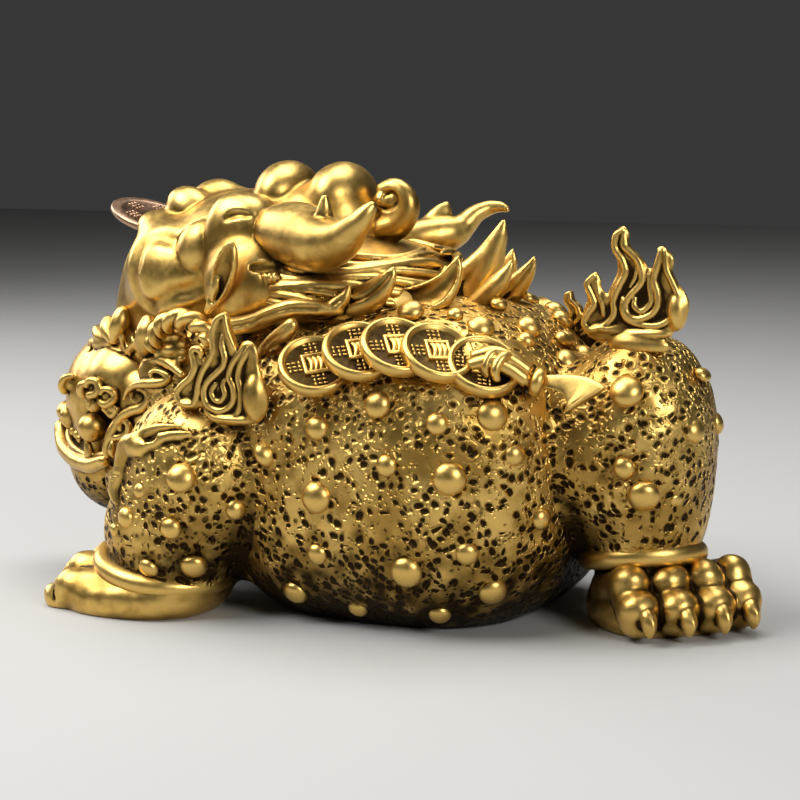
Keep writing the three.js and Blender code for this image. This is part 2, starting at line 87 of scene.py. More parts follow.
class Clay:
    """A block of clay. The depth at each grid point is in millimetres, below nought inside the form."""

    def __init__(self, low, high, cell):
        self.low = np.array(low, float)
        self.cell = cell
        self.size = np.ceil((np.array(high, float) - self.low) / cell).astype(int) + 1
        self.depth = np.full(tuple(self.size), 40.0, np.float32)

    def window(self, low, high):
        """The slices and the three coordinate rows of the grid points inside a box."""
        first = np.clip(np.floor((np.array(low) - self.low) / self.cell).astype(int), 0, self.size - 1)
        last = np.clip(np.ceil((np.array(high) - self.low) / self.cell).astype(int) + 1, 1, self.size)
        rows = [(np.arange(a, b) * self.cell + s).astype(np.float32) for a, b, s in zip(first, last, self.low)]
        grid = (rows[0][:, None, None], rows[1][None, :, None], rows[2][None, None, :])
        return tuple(slice(a, b) for a, b in zip(first, last)), grid

    def blend(self, form, soft, sign, margin):
        """The smaller of two depths, less a quarter of soft times the squared share by which the two are close."""
        low, high, depth = form
        where, grid = self.window(low - soft - margin, high + soft + margin)
        old, new = sign * self.depth[where], depth(*grid)
        share = np.maximum(soft - np.abs(new - old), 0) / soft
        self.depth[where] = sign * (np.minimum(old, new) - share * share * (soft / 4))
        return self

    def add(self, form, soft):
        """Soft union."""
        return self.blend(form, soft, 1, 2)

    def carve(self, form, soft):
        """Soft cut: the union of the space outside and the tool, turned round again."""
        return self.blend(form, soft, -1, 1)

    def add_pair(self, form, soft):
        return self.add(form, soft).add(mirrored(form), soft)

    def carve_pair(self, form, soft):
        return self.carve(form, soft).carve(mirrored(form), soft)

    def look(self, places):
        """The depth at any places, mixed from the eight grid points round each."""
        spot = np.clip((np.asarray(places, float) - self.low) / self.cell, 0, self.size - 1.001)
        first = spot.astype(int)
        return sum(weight * self.depth[tuple((first + corner).T)] for corner, weight in corners(spot - first))

    def settle(self, stations, lift=0.0):
        """Moves stations to the surface, down or up its slope, and lifts them off it."""
        s = np.array(stations, float)
        places = s[:, :3]
        for _ in range(6):
            steps = np.eye(3) * self.cell
            slope = np.stack([self.look(places + e) - self.look(places - e) for e in steps], 1) / (2 * self.cell)
            long = np.maximum((slope**2).sum(1), 0.05)
            move = (self.look(places) / long)[:, None] * slope
            places = places - np.clip(move, -2.5, 2.5)
        s[:, :3] = places + unit(slope) * lift
        return s

    def rest(self):
        """Cuts the form off flat at z = 0: no depth is less than the distance below it."""
        z = self.low[2] + np.arange(self.size[2]) * self.cell
        self.depth = np.maximum(self.depth, -z[None, None, :].astype(np.float32))
        return self

    def skin(self):
        """The surface at depth nought: one point in each grid cell that the surface crosses, at the mean of the
        crossings on the cell's edges, and one four-sided face round each crossed grid edge."""
        self.depth[[0, -1]] = self.depth[:, [0, -1]] = self.depth[:, :, [0, -1]] = 5.0
        depth, size = self.depth, self.size
        ids, places, rings = [], [], []
        for axis in range(3):
            step = np.zeros(3, int)
            step[axis] = 1
            near = depth[tuple(slice(0, n - s) for n, s in zip(size, step))]
            far = depth[tuple(slice(s, n) for n, s in zip(size, step))]
            spot = np.argwhere((near < 0) != (far < 0))
            a, b = near[tuple(spot.T)], far[tuple(spot.T)]
            place = spot + step * (a / (a - b))[:, None]
            u, v = np.eye(3, dtype=int)[(axis + 1) % 3], np.eye(3, dtype=int)[(axis + 2) % 3]
            cells = [np.ravel_multi_index(tuple((spot - o).T), tuple(size)) for o in (u + v, v, 0 * u, u)]
            ring = np.stack(cells, 1)
            rings.append(np.where((a < 0)[:, None], ring, ring[:, ::-1]))
            ids.append(ring.ravel())
            places.append(np.repeat(place, 4, axis=0))
        ids, places = np.concatenate(ids), np.concatenate(places)
        used, order = np.unique(ids, return_inverse=True)
        count = np.bincount(order)
        points = np.stack([np.bincount(order, places[:, i]) / count for i in range(3)], 1)
        faces = np.searchsorted(used, np.concatenate(rings))
        return points * self.cell + self.low, faces


def turn(x=0, y=0, z=0):
    """The matrix of turns in degrees about X, then Y, then Z."""
    a, b, c = np.radians([x, y, z])
    rx = np.array([[1, 0, 0], [0, math.cos(a), -math.sin(a)], [0, math.sin(a), math.cos(a)]])
    ry = np.array([[math.cos(b), 0, math.sin(b)], [0, 1, 0], [-math.sin(b), 0, math.cos(b)]])
    rz = np.array([[math.cos(c), -math.sin(c), 0], [math.sin(c), math.cos(c), 0], [0, 0, 1]])
    return rz @ ry @ rx


def mass(centre, half, lean=0, power=2.0):
    """A swollen mass: the depth is (size - 1) times the least half width, where size is the power mean of the three
    distances over their half widths, in axes that lean about Y."""
    centre, half = np.array(centre, float), np.array(half, float)
    c, s = math.cos(math.radians(lean)), math.sin(math.radians(lean))
    reach = np.array([max(half[0], half[2]) if lean else half[0], half[1], max(half[0], half[2]) if lean else half[2]])

    def depth(x, y, z):
        x, y, z = x - centre[0], y - centre[1], z - centre[2]
        size = (np.abs(x * c - z * s) / half[0]) ** power + (np.abs(y) / half[1]) ** power
        size = size + (np.abs(x * s + z * c) / half[2]) ** power
        return (size ** (1 / power) - 1) * half.min()

    return centre - reach, centre + reach, depth


def egg(centre, half, turned=None):
    """An ellipsoid: with k the length of the place over the half widths and m that over their squares, the depth is
    k (k - 1) / m."""
    centre, half = np.array(centre, float), np.array(half, float) * np.ones(3)
    back = np.eye(3) if turned is None else turned.T
    reach = np.full(3, half.max()) if turned is not None else half

    def depth(x, y, z):
        x, y, z = x - centre[0], y - centre[1], z - centre[2]
        k, m = 0, 0
        for row, h in zip(back, half):
            part = (row[0] * x + row[1] * y + row[2] * z) / h
            k = k + part * part
            m = m + (part / h) ** 2
        k, m = np.sqrt(k), np.sqrt(m) + 1e-6
        return k * (k - 1) / m

    return centre - reach, centre + reach, depth


def smooth_line(stations, steps):
    """Points on the smooth curve through the stations: the usual cubic through four neighbours, steps to a span."""
    s = np.array(stations, float)
    s = np.vstack([2 * s[0] - s[1], s, 2 * s[-1] - s[-2]])
    t = (np.arange(steps) / steps)[None, :, None]
    a, b, c, d = (s[i : len(s) - 3 + i][:, None, :] for i in range(4))
    line = 0.5 * (2 * b + (c - a) * t + (2 * a - 5 * b + 4 * c - d) * t**2 + (3 * b - a - 3 * c + d) * t**3)
    return np.vstack([line.reshape(-1, s.shape[1]), s[-2][None]])


def cord(stations, steps=4, facing=None, flat=1.0):
    """A cord through stations [x, y, z, radius]: the depth is the least over its spans of the distance to the span
    less the radius there. With a facing direction, distances along it are divided by flat, so the cord is a blade."""
    line = smooth_line(stations, steps)
    line[:, 3] = np.maximum(line[:, 3], 0.2)
    low = (line[:, :3] - line[:, 3:]).min(0)
    high = (line[:, :3] + line[:, 3:]).max(0)

    def depth(x, y, z):
        best = None
        for a, b in zip(line[:-1], line[1:]):
            run = b[:3] - a[:3]
            along = (x - a[0]) * run[0] + (y - a[1]) * run[1] + (z - a[2]) * run[2]
            t = np.clip(along / max(run @ run, 1e-9), 0, 1)
            dx, dy, dz = x - a[0] - t * run[0], y - a[1] - t * run[1], z - a[2] - t * run[2]
            off = dx**2 + dy**2 + dz**2
            if facing is not None:
                off = off + (1 / flat**2 - 1) * (dx * facing[0] + dy * facing[1] + dz * facing[2]) ** 2
            here = np.sqrt(off) - (a[3] + t * (b[3] - a[3]))
            best = here if best is None else np.minimum(best, here)
        return best

    return low, high, depth


def mirrored(form):
    """The form on the other side of the middle plane y = 0."""
    low, high, depth = form
    return low * [1, 0, 1] - high * [0, 1, 0], high * [1, 0, 1] - low * [0, 1, 0], lambda x, y, z: depth(x, -y, z)


# Surfaces worked out on a grid of two parameters


def unit(v):
    """Each vector over its length."""
    return v / np.maximum(np.linalg.norm(v, axis=-1, keepdims=True), 1e-9)


def grid_faces(rows, columns):
    """Faces of a grid whose columns close on themselves, with a point at each end."""
    start = np.arange(rows - 1)[:, None] * columns
    j = np.arange(columns)
    k = (j + 1) % columns
    sides = np.stack([start + j, start + k, start + columns + k, start + columns + j], -1).reshape(-1, 4)
    end, first, last = (rows - 1) * columns, 0 * j + rows * columns, 0 * j + rows * columns + 1
    return np.vstack([sides, np.stack([k, j, first, first], 1), np.stack([end + j, end + k, last, last], 1)])


def closed(points):
    """Closes a grid of rings with a middle point at each end, and returns points and faces."""
    rows, columns = points.shape[:2]
    ends = np.vstack([points[0].mean(0), points[-1].mean(0)])
    return np.vstack([points.reshape(-1, 3), ends]), grid_faces(rows, columns)


def swept(stations, facing, section, steps=5, columns=20):
    """A section carried along the smooth line through stations [x, y, z, radius]. section(angle, share of length)
    gives the sideways and the outward distances in radii, and facing is the outward direction."""
    line = smooth_line(stations, steps)
    place, radius = line[:, :3], np.maximum(line[:, 3], 0.05)
    along = unit(np.gradient(place, axis=0))
    side = unit(np.cross(along, np.array(facing, float)))
    out = np.cross(side, along)
    angle = np.linspace(0, 2 * math.pi, columns, endpoint=False)[None, :]
    share = np.linspace(0, 1, len(line))[:, None]
    across, outward = section(angle, share)
    ring = across[..., None] * side[:, None, :] + outward[..., None] * out[:, None, :]
    return closed(place[:, None, :] + ring * radius[:, None, None])


def round_section(angle, share):
    """A circle: the cosine and the sine of the angle."""
    return np.cos(angle) + 0 * share, np.sin(angle) + 0 * share


def flat_section(thick):
    """An ellipse: the cosine of the angle, and its sine times the thickness."""
    return lambda angle, share: (np.cos(angle) + 0 * share, thick * np.sin(angle) + 0 * share)


def twisted_section(strands, twist):
    """A section of several strands that turns along the length: a circle whose radius swells with the cosine of the
    angle less the turn so far."""

    def section(angle, share):
        bulge = 0.62 + 0.42 * np.abs(np.cos((angle - twist * 2 * math.pi * share) * strands / 2))
        return np.cos(angle) * bulge, np.sin(angle) * bulge

    return section


def round_about(profile, columns):
    """A profile of [radius, height] turned about Z."""
    angle = np.linspace(0, 2 * math.pi, columns, endpoint=False)
    ring = np.stack([np.cos(angle), np.sin(angle), 0 * angle], -1)
    return profile[:, None, :1] * ring[None] + profile[:, None, 1:] * np.array([0.0, 0.0, 1.0])


def turned_disc(profile, columns=72):
    return closed(round_about(np.array(profile, float), columns))


def endless(points):
    """A grid that closes on itself both ways, as points and faces."""
    rows, columns = points.shape[:2]
    i, j = np.meshgrid(np.arange(rows), np.arange(columns), indexing="ij")
    k, m = (i + 1) % rows, (j + 1) % columns
    faces = np.stack([i * columns + j, k * columns + j, k * columns + m, i * columns + m], -1).reshape(-1, 4)
    return points.reshape(-1, 3), faces


def placed(surface, centre, matrix=None):
    """The surface turned by a matrix and moved to a middle."""
    points, faces = surface
    points = points if matrix is None else points @ matrix.T
    return points + np.array(centre, float), faces


def flipped(surface):
    """The mirror image in the plane y = 0."""
    points, faces = surface
    return points * [1, -1, 1], faces[:, ::-1]


def facing_frame(facing, roll=0):
    """The matrix whose third axis is the facing direction and whose second leans towards +Z."""
    z = np.array(facing, float) / np.linalg.norm(facing)
    x = np.cross([0.0, 0.0, 1.0], z)
    x = x / np.linalg.norm(x)
    return np.stack([x, np.cross(z, x), z], 1) @ turn(z=roll)


# Pieces


class Piece:
    """One piece of the figure: surfaces gathered into one mesh, each with a share of pitted skin. A weight says how
    strongly patina and painted shade darken the piece's hollows and enclosed places, and kept which share of its faces
    stays, since its grid is finer than it needs."""

    def __init__(self, name, node="toad", slot="antique_brass", grime=1.0, kept=1.0):
        self.name, self.node, self.slot, self.grime, self.kept = name, node, slot, grime, kept
        self.points, self.faces, self.pitted, self.total = [], [], [], 0

    def put(self, surface, pitted=0.0):
        """Gathers a closed surface, its faces turned outward by the sign of the volume that they enclose."""
        points, faces = surface
        a, b, c, d = (points[faces[:, i]] for i in range(4))
        if (np.cross(c - a, d - b) * (a + b + c + d)).sum() < 0:
            faces = faces[:, ::-1]
        self.points.append(points)
        self.faces.append(faces + self.total)
        self.pitted.append(np.full(len(points), pitted) if np.isscalar(pitted) else pitted)
        self.total += len(points)
        return self

    def both(self, surface, pitted=0.0):
        return self.put(surface, pitted).put(flipped(surface), pitted)


def point_normals(points, faces):
    """Area-weighted mean of the faces' normals at each point."""
    a, b, c, d = (points[faces[:, i]] for i in range(4))
    normal = np.cross(c - a, d - b)
    corners = faces.ravel()
    spread = np.repeat(normal, 4, axis=0)
    total = np.stack([np.bincount(corners, spread[:, i], len(points)) for i in range(3)], 1)
    return unit(total), np.bincount(corners, np.repeat(np.linalg.norm(normal, axis=1), 4), len(points)) / 8


def neighbour_mean(values, faces, count):
    """The mean over the points that share a face's edge."""
    a, b = faces.ravel(), np.roll(faces, -1, axis=1).ravel()
    number = np.bincount(a, minlength=count) + np.bincount(b, minlength=count)
    columns = values.reshape(count, -1)
    total = [np.bincount(a, c[b], count) + np.bincount(b, c[a], count) for c in columns.T]
    return (np.stack(total, 1) / np.maximum(number, 1)[:, None]).reshape(values.shape)


def build(piece, material):
    """Puts a piece's points and faces, and the shares at each point, into a mesh of its own."""
    points, faces = np.vstack(piece.points), np.vstack(piece.faces)
    mesh = bpy.data.meshes.new(piece.name)
    mesh.vertices.add(len(points))
    mesh.vertices.foreach_set("co", (points * MM).astype(np.float32).ravel())
    keep = faces != np.roll(faces, -1, axis=1)
    length = keep.sum(1)
    mesh.loops.add(int(length.sum()))
    mesh.loops.foreach_set("vertex_index", faces[keep].astype(np.int32))
    mesh.polygons.add(len(faces))
    mesh.polygons.foreach_set("loop_start", np.concatenate([[0], np.cumsum(length)[:-1]]).astype(np.int32))
    mesh.polygons.foreach_set("use_smooth", np.ones(len(faces), bool))
    mesh.update(calc_edges=True)
    mesh.validate()
    for name, values in (("pitted", np.concatenate(piece.pitted)), ("hollow", piece.hollow), ("worn", piece.worn)):
        mesh.attributes.new(name, "FLOAT", "POINT").data.foreach_set("value", values.astype(np.float32))
    mesh.materials.append(material)
    made = bpy.data.objects.new(piece.name, mesh)
    bpy.context.scene.collection.objects.link(made)
    if piece.kept < 1:
        made.modifiers.new("Fewer faces", "DECIMATE").ratio = piece.kept
    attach(made, "root")
    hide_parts(piece.node)
    return made


SKIN_FADE = 85.0  # Below this height pitted skin is painted darker towards the bottom, as painted shade.


def weather_and_light(pieces):
    """Works out where patina lies, where shade is painted, where hands have rubbed the metal bright and where a
    highlight is painted. The whole surface's area is gathered in cubes of 1.5 mm and blurred. A point is hollow where
    much surface lies a little way out from it, which is painted shade in enclosed places, and where it lies below the
    mean of its neighbours, which is patina; it is also painted darker, as shade, where it faces down or is pitted skin
    low on the body.
    It is brighter where it stands above its neighbours, which is wear, and where it faces up, which is a painted
    highlight;
    enclosed places are painted less bright."""
    every = [np.vstack(p.points) for p in pieces]
    low = np.min([e.min(0) for e in every], 0) - 15
    cube = 1.5
    size = np.ceil((np.max([e.max(0) for e in every], 0) + 15 - low) / cube).astype(int)
    crowd = np.zeros(tuple(size))
    facts = []
    for points, piece in zip(every, pieces):
        faces = np.vstack(piece.faces)
        normals, area = point_normals(points, faces)
        where = np.floor((points - low) / cube).astype(int)
        crowd += np.bincount(np.ravel_multi_index(tuple(where.T), tuple(size)), area, crowd.size).reshape(size)
        facts.append((faces, normals))
    for axis in range(3):
        for _ in range(2):
            crowd = (np.roll(crowd, 1, axis) + np.roll(crowd, -1, axis) + crowd) / 3
    for points, piece, (faces, normals) in zip(every, pieces, facts):
        # Painted shade: this measures how much surface lies a little way out from each point, and enclosed places are
        # painted darker.
        above = 0
        for reach, weight in ((4.0, 0.5), (7.0, 0.3), (11.0, 0.2)):
            where = np.clip(np.floor((points + normals * reach - low) / cube).astype(int), 0, size - 1)
            above = above + weight * np.minimum(crowd[tuple(where.T)] / (cube * cube), 1.2)
        rise = ((points - neighbour_mean(points, faces, len(points))) * normals).sum(1)
        for _ in range(2):
            rise = 0.5 * rise + 0.5 * neighbour_mean(rise, faces, len(points))
        wide = rise
        for _ in range(8):
            wide = neighbour_mean(wide, faces, len(points))
        # Painted shade on faces that look down.
        under = np.clip(-normals[:, 2], 0, 1)
        # Painted shade on pitted skin low on the body, darker towards the bottom.
        low_skin = np.clip(1 - points[:, 2] / SKIN_FADE, 0, 1) * np.concatenate(piece.pitted)
        # The hollow attribute sums patina where the point lies below its neighbours and painted shade in enclosed
        # places, on faces that look down and low on the body.
        dirt_and_shade = (above * 1.15 - 0.05 - rise * 8 - wide * 9) * piece.grime + under * 0.3 + low_skin * 0.55
        piece.hollow = np.clip(dirt_and_shade, 0, 1)
        # Brighter on raised places, where hands wear the metal, with a painted highlight on faces that look up;
        # enclosed places get painted shade.
        piece.worn = np.clip(rise * 6 + wide * 8 - above * 0.5 + 0.12 + normals[:, 2] * 0.16, 0, 1)


# Trunk, legs and hip

# The trunk's masses: middle, half widths, lean and power.
TRUNK = [
    ([9, 0, 58], [75.5, 73, 66], 0, 2.8), ([-75, 0, 80], [38, 46, 46], 0, 2.2), ([-106, 0, 46], [26, 38, 34], 0, 2),
]


BODY_SOFT, OVERLAP, JOIN = 9, 9, 7  # Softness of the body's unions, how far a limb lies over the trunk, and its seam.


def trunk_clay(clay, sink=0.0):
    """The soft union of the trunk's masses, sunk a little where a limb is to lie over it."""
    for centre, half, lean, power in TRUNK:
        low, high, depth = mass(centre, half, lean, power)
        clay.add((low, high, lambda x, y, z, d=depth: d(x, y, z) + sink), BODY_SOFT)
    return clay


def limb(clay, masses):
    """Adds a limb by a soft union, and keeps only the part of the trunk that it overlaps."""
    leg = Clay(clay.low, clay.low + (clay.size - 1) * clay.cell, clay.cell)
    for form in masses:
        leg.add(form, BODY_SOFT)
    near = np.maximum(clay.depth, leg.depth - OVERLAP)
    share = np.maximum(JOIN - np.abs(near - leg.depth), 0) / JOIN
    clay.depth = (np.minimum(near, leg.depth) - share * share * JOIN / 4).astype(np.float32)


def hammered(surface, height, size, salt):
    """Moves each point along its normal by soft noise of two sizes, but not at the flat underside."""
    points, faces = surface
    normals, _ = point_normals(points, faces)
    rise = lumps(points, size, salt) + 0.5 * lumps(points, size / 2.2, salt + 5)
    free = np.clip(points[:, 2:3] / 3, 0, 1)
    return points + normals * (rise * height)[:, None] * free, faces


def wart(centre, radius, out):
    """A smooth round wart: a ball flattened to 0.7 along the outward direction, sunk a little at its foot."""
    t = np.linspace(0.06, math.pi * 0.62, 9)
    profile = np.column_stack([np.sin(t) * radius, np.cos(t) * radius * 0.7])
    points, faces = turned_disc(profile, 28)
    return placed((points, faces[:, ::-1]), centre, facing_frame(out))


def trunk_side(x, z, side):
    """The point of the trunk's flank at x and z, from the power mean of its half widths, and the outward normal."""
    (cx, _, cz), (hx, hy, hz), _, power = TRUNK[0]
    left = 1 - (abs(x - cx) / hx) ** power - (abs(z - cz) / hz) ** power
    y = hy * max(left, 0.001) ** (1 / power)
    normal = np.array([np.sign(x - cx) * (abs(x - cx) / hx) ** (power - 1) / hx, (y / hy) ** (power - 1) / hy,
                       np.sign(z - cz) * (abs(z - cz) / hz) ** (power - 1) / hz])
    return np.array([x, side * y, z]), unit(normal * [1, side, 1])


FLANK_WARTS = [
    (26, 88, 5.2), (2, 78, 4.6), (49, 82, 4.2), (31, 66, 4.2), (66, 85, 6), (73, 70, 4.2), (54, 62, 6.4),
    (2, 52, 6.2), (79, 45, 4.4), (1, 30, 4.2), (37, 26, 6.2), (59, 34, 4.4), (64, 18, 5.6), (-14, 12, 5.2),
    (12, 8, 4), (44, 8, 4.4),
]
BACK_WARTS = [
    ([26, -42, 120], 5.2), ([52, -36, 114.5], 5.4), ([63, -16, 113.5], 5), ([71, -2, 108], 3.6),
    ([76, -9, 100], 5.6), ([82.5, -17, 65.5], 6.2), ([41.5, -36, 119], 3.2), ([49.5, -14, 121.5], 3.4),
    ([65.5, -24, 109.5], 3.4),
]
LEG_WARTS = [
    ([-21, -69.5, 66.5], 5.4), ([-49, -85, 57.5], 5.8), ([-54, -85, 37.5], 4.2), ([-49.5, -76.5, 22], 5.4),
    ([-66.5, -81.5, 20.5], 4.6), ([-75.5, -83, 39.5], 4.4), ([-32.5, -73, 45], 4.2), ([-68.5, -83.5, 51], 3.2),
    ([-82, -81.5, 34], 2.8),
]
HIP_WARTS = [
    ([107.5, -29, 93], 6.4), ([127.5, -12, 77.5], 4.6), ([115, -30, 55], 6), ([108, -32, 65], 4.2),
    ([126.5, -1, 97], 3.2), ([122, -18, 52], 3.8),
]


def make_trunk():
    clay = trunk_clay(Clay([-140, -80, -3], [92, 80, 131], 1.05)).rest()
    return Piece("trunk", kept=0.3).put(hammered(clay.skin(), 0.45, 11, 1), 1.0)


def make_warts():
    piece = Piece("warts")
    for x, z, radius in FLANK_WARTS:
        for side in (-1, 1):
            place, out = trunk_side(x, z, side)
            piece.put(wart(place - out * radius * 0.12, radius, out))
    for warts, middle in ((BACK_WARTS, [20, 0, 50]), (LEG_WARTS, [-60, -57, 42]), (HIP_WARTS, [103, 0, 69])):
        for centre, radius in warts:
            piece.both(wart(centre, radius, np.array(centre) - middle))
    return piece


# Front toes as [across, tip, radius, height of the knuckle].
TOES = [(-76, -118, 7.5, 13), (-62, -122, 7.2, 17), (-48, -120, 7.2, 19), (-35, -114, 6.8, 18)]
# Leaf-shaped flame that runs from the beast face over the shoulder.
LEG_LEAF = [
    level(-82, -74.1, 68.9, 3, -70.5, 72.7, 2.1, -67.6, 74.7, 1.8, -62.7, 76.4, 1.4, -57.1, 77.5, 1,
        -52.3, 78.6, 0.5),
    level(-82, -74.1, 67.7, 3.2, -69.2, 67, 2.5, -64.9, 68.6, 2, -61.4, 70.6, 1.8, -56.5, 72.6, 1.6,
        -51.7, 73.8, 1.4, -46.9, 75.7, 0.8),
    [[-73, -81, 68.5, 3.4], [-77.2, -79, 66.8, 3.9], [-79.6, -78, 63.5, 3.4], [-81.4, -78, 59.4, 2.8],
        [-82.2, -78, 55.1, 2.6], [-83.4, -78, 51.1, 2.6], [-83.5, -78, 47.8, 2.3], [-80.5, -78, 43.2, 0.5]],
]


def front_leg_clay():
    """The near front leg: soft unions of masses for shoulder, shin and foot, leaf cords over the shoulder, and for
    each toe a cord, a ball for its knuckle, a crease and a claw."""
    clay = Clay([-130, -95, -3], [-18, -12, 96], 0.78)
    trunk_clay(clay, 0.7)
    clay.carve((np.array([-200.0, -20, -10]), np.array([50.0, 200, 200]), lambda x, y, z: -20 - y + 0 * (x + z)), 1)
    limb(clay, [mass([-58, -57, 53], [32, 29, 35]), mass([-70, -58, 32], [28, 27, 26]),
                mass([-82, -60, 6], [33, 28, 12], -4, 2.4)])
    leaves = [cord(clay.settle(leaf, 0.9) * [1, 1, 1, 1.25], 6, (-0.1, -1, 0.1), 0.5) for leaf in LEG_LEAF]
    hollow = clay.settle([[-64.6, -84, 72, 1]], 1.6)[0, :3]
    for leaf in leaves:
        clay.add(leaf, 1.0)
    clay.carve(egg(hollow, [3.6, 1.5, 1.7], turn(y=-22)), 0.8)
    for y, tip, radius, height in TOES:
        clay.add(cord([[tip + 34, y, height - 3, radius], [tip + 14, y, height - 5, radius],
                       [tip + 6, y, height - 9.5, radius * 0.82], [tip + 2, y, 5, radius * 0.5]]), 2.5)
        clay.add(egg([tip + 13, y, height - 3.5], [radius * 1.08, radius * 1.02, radius * 0.9]), 1.5)
        clay.carve(cord([[tip + 6.5, y - 7, height - 10, 0.8], [tip + 7.5, y, height + 1.2, 0.9],
                         [tip + 6.5, y + 7, height - 10, 0.8]]), 1)
        clay.add(cord([[tip + 5, y, height - 9, radius * 0.6], [tip + 1, y, 4, 2.6], [tip - 1, y, 1.2, 0.8]]), 0.8)
    return clay.rest(), leaves


def band(centre, radius, tilt, bar):
    """A smooth ankle ring: a doubled fold turned about the leg, on an axis tilted from upright."""
    t = np.linspace(0, 2 * math.pi, 25)[:-1]
    fold = 1 + 0.14 * np.cos(2 * t + 0.4)
    profile = np.column_stack([radius + np.cos(t) * bar * fold, np.sin(t) * bar * 1.25 * fold])
    return placed(endless(round_about(profile, 96).transpose(1, 0, 2)), centre, tilt)


def make_front_legs():
    clay, leaves = front_leg_clay()
    surface = hammered(clay.skin(), 0.35, 9, 2)
    points = surface[0]
    smooth = np.clip(((points - [-74, -58, 17.5]) @ turn(6, 10, 0)[:, 2] - 1) / 3, 0, 1)
    for leaf in leaves:
        smooth = smooth * np.clip((leaf[2](*points.T) - 0.3) / 1.2, 0, 1)
    piece = Piece("front_legs", kept=0.55).both(surface, smooth)
    piece.both(band([-74, -58, 17.5], 25.0, turn(6, 10, 0), 3.6))
    return piece


# Hind toes as [across, tip, radius].
HIND_TOES = [(-14.8, 34, 7.6), (0.2, 36.6, 7.8), (15, 36.6, 7.7), (28.8, 33.6, 7.3)]
FOOT_TURN = turn(z=-42)


def out_on_foot(stations):
    """Stations given along the hind foot, [along, across, height, radius], turned to the foot's direction."""
    s = np.array(stations, float)
    return np.column_stack([s[:, :3] @ FOOT_TURN.T + [104, 0, 0], s[:, 3:]])


def hind_leg_clay():
    """The hind leg: soft unions of masses for hip, shank and foot, and for each toe a cord, two balls for its joints
    and a ridged claw. A fold is carved over the hip."""
    clay = Clay([48, -52, -3], [156, 54, 118], 0.9)
    trunk_clay(clay, 0.7)
    clay.carve((np.array([-50.0, -200, -20]), np.array([60.0, 200, 200]), lambda x, y, z: x - 62 + 0 * (y + z)), 1)
    limb(clay, [mass([103, 0, 69], [27.5, 32, 43], 0, 2.2), mass([103.5, 0, 40], [22.5, 23, 28]),
                mass([82, 0, 66], [24, 33, 34])])
    low, high, foot = mass([3, 8, 8], [25, 29, 14], 0, 2.6)
    c, s = FOOT_TURN[0, 0], FOOT_TURN[1, 0]
    clay.add((np.array([60.0, -45, -8]), np.array([150.0, 45, 24]),
              lambda x, y, z: foot((x - 104) * c + y * s, -(x - 104) * s + y * c, z)), 6)
    for across, tip, radius in HIND_TOES:
        size = radius / 7.6
        toe = [[tip - 34, across, 16, 6.4], [tip - 20, across, 18.5, 7.2], [tip - 13.5, across, 14.5, 7.3],
               [tip - 9.5, across, 8, 7]]
        clay.add(cord(out_on_foot(toe)), 1.6)
        upper, lower = out_on_foot([[tip - 16.3, across, 20.8, 1], [tip - 8.6, across, 11.8, 1]])[:, :3]
        clay.add(egg(upper, [7.8 * size, 7.7 * size, 7.1], FOOT_TURN), 1.5)
        clay.add(egg(lower, [8 * size, 8.3 * size, 7.6], FOOT_TURN), 1.2)
        claw = [[tip - 2.8, across, 12.2, 2.2], [tip - 1.3, across, 10.6, 3.2], [tip - 0.1, across, 8.2, 3.2],
                [tip + 0.4, across, 5.6, 2.2], [tip + 0.2, across, 3.2, 0.8]]
        clay.add(cord(out_on_foot(claw), 5), 0.3)
        ridge = np.array(claw)[1:] + [1, 0, 0, 0]
        ridge[:, 0] += ridge[:, 3] * 0.72
        clay.add(cord(out_on_foot(ridge * [1, 1, 1, 0.26]), 5), 0.6)
    clay.carve(cord([[100, -35, 61, 1.4], [103.5, -34.6, 70, 2.3], [107.2, -33.5, 76.5, 2.3], [112, -31.2, 80.8, 1.6],
                     [116.5, -28.5, 82.5, 0.8]]), 3)
    clay.carve(egg([112, -35.5, 70], [8, 5, 9]), 5)
    return clay


def make_hind_leg():
    clay = hind_leg_clay().rest()
    surface = hammered(clay.skin(), 0.4, 9, 3)
    points, tilt = surface[0], turn(-7, -8, 0)
    above = np.clip(((points - [104, 0, 27.5]) @ tilt[:, 2] - 1) / 3, 0, 1)
    piece = Piece("hind_leg", kept=0.6).put(surface, np.maximum(above, np.clip((82 - points[:, 0]) / 4, 0, 1)))
    return piece.put(band([104, 0, 27], 20.2, tilt, 4))


# Flames

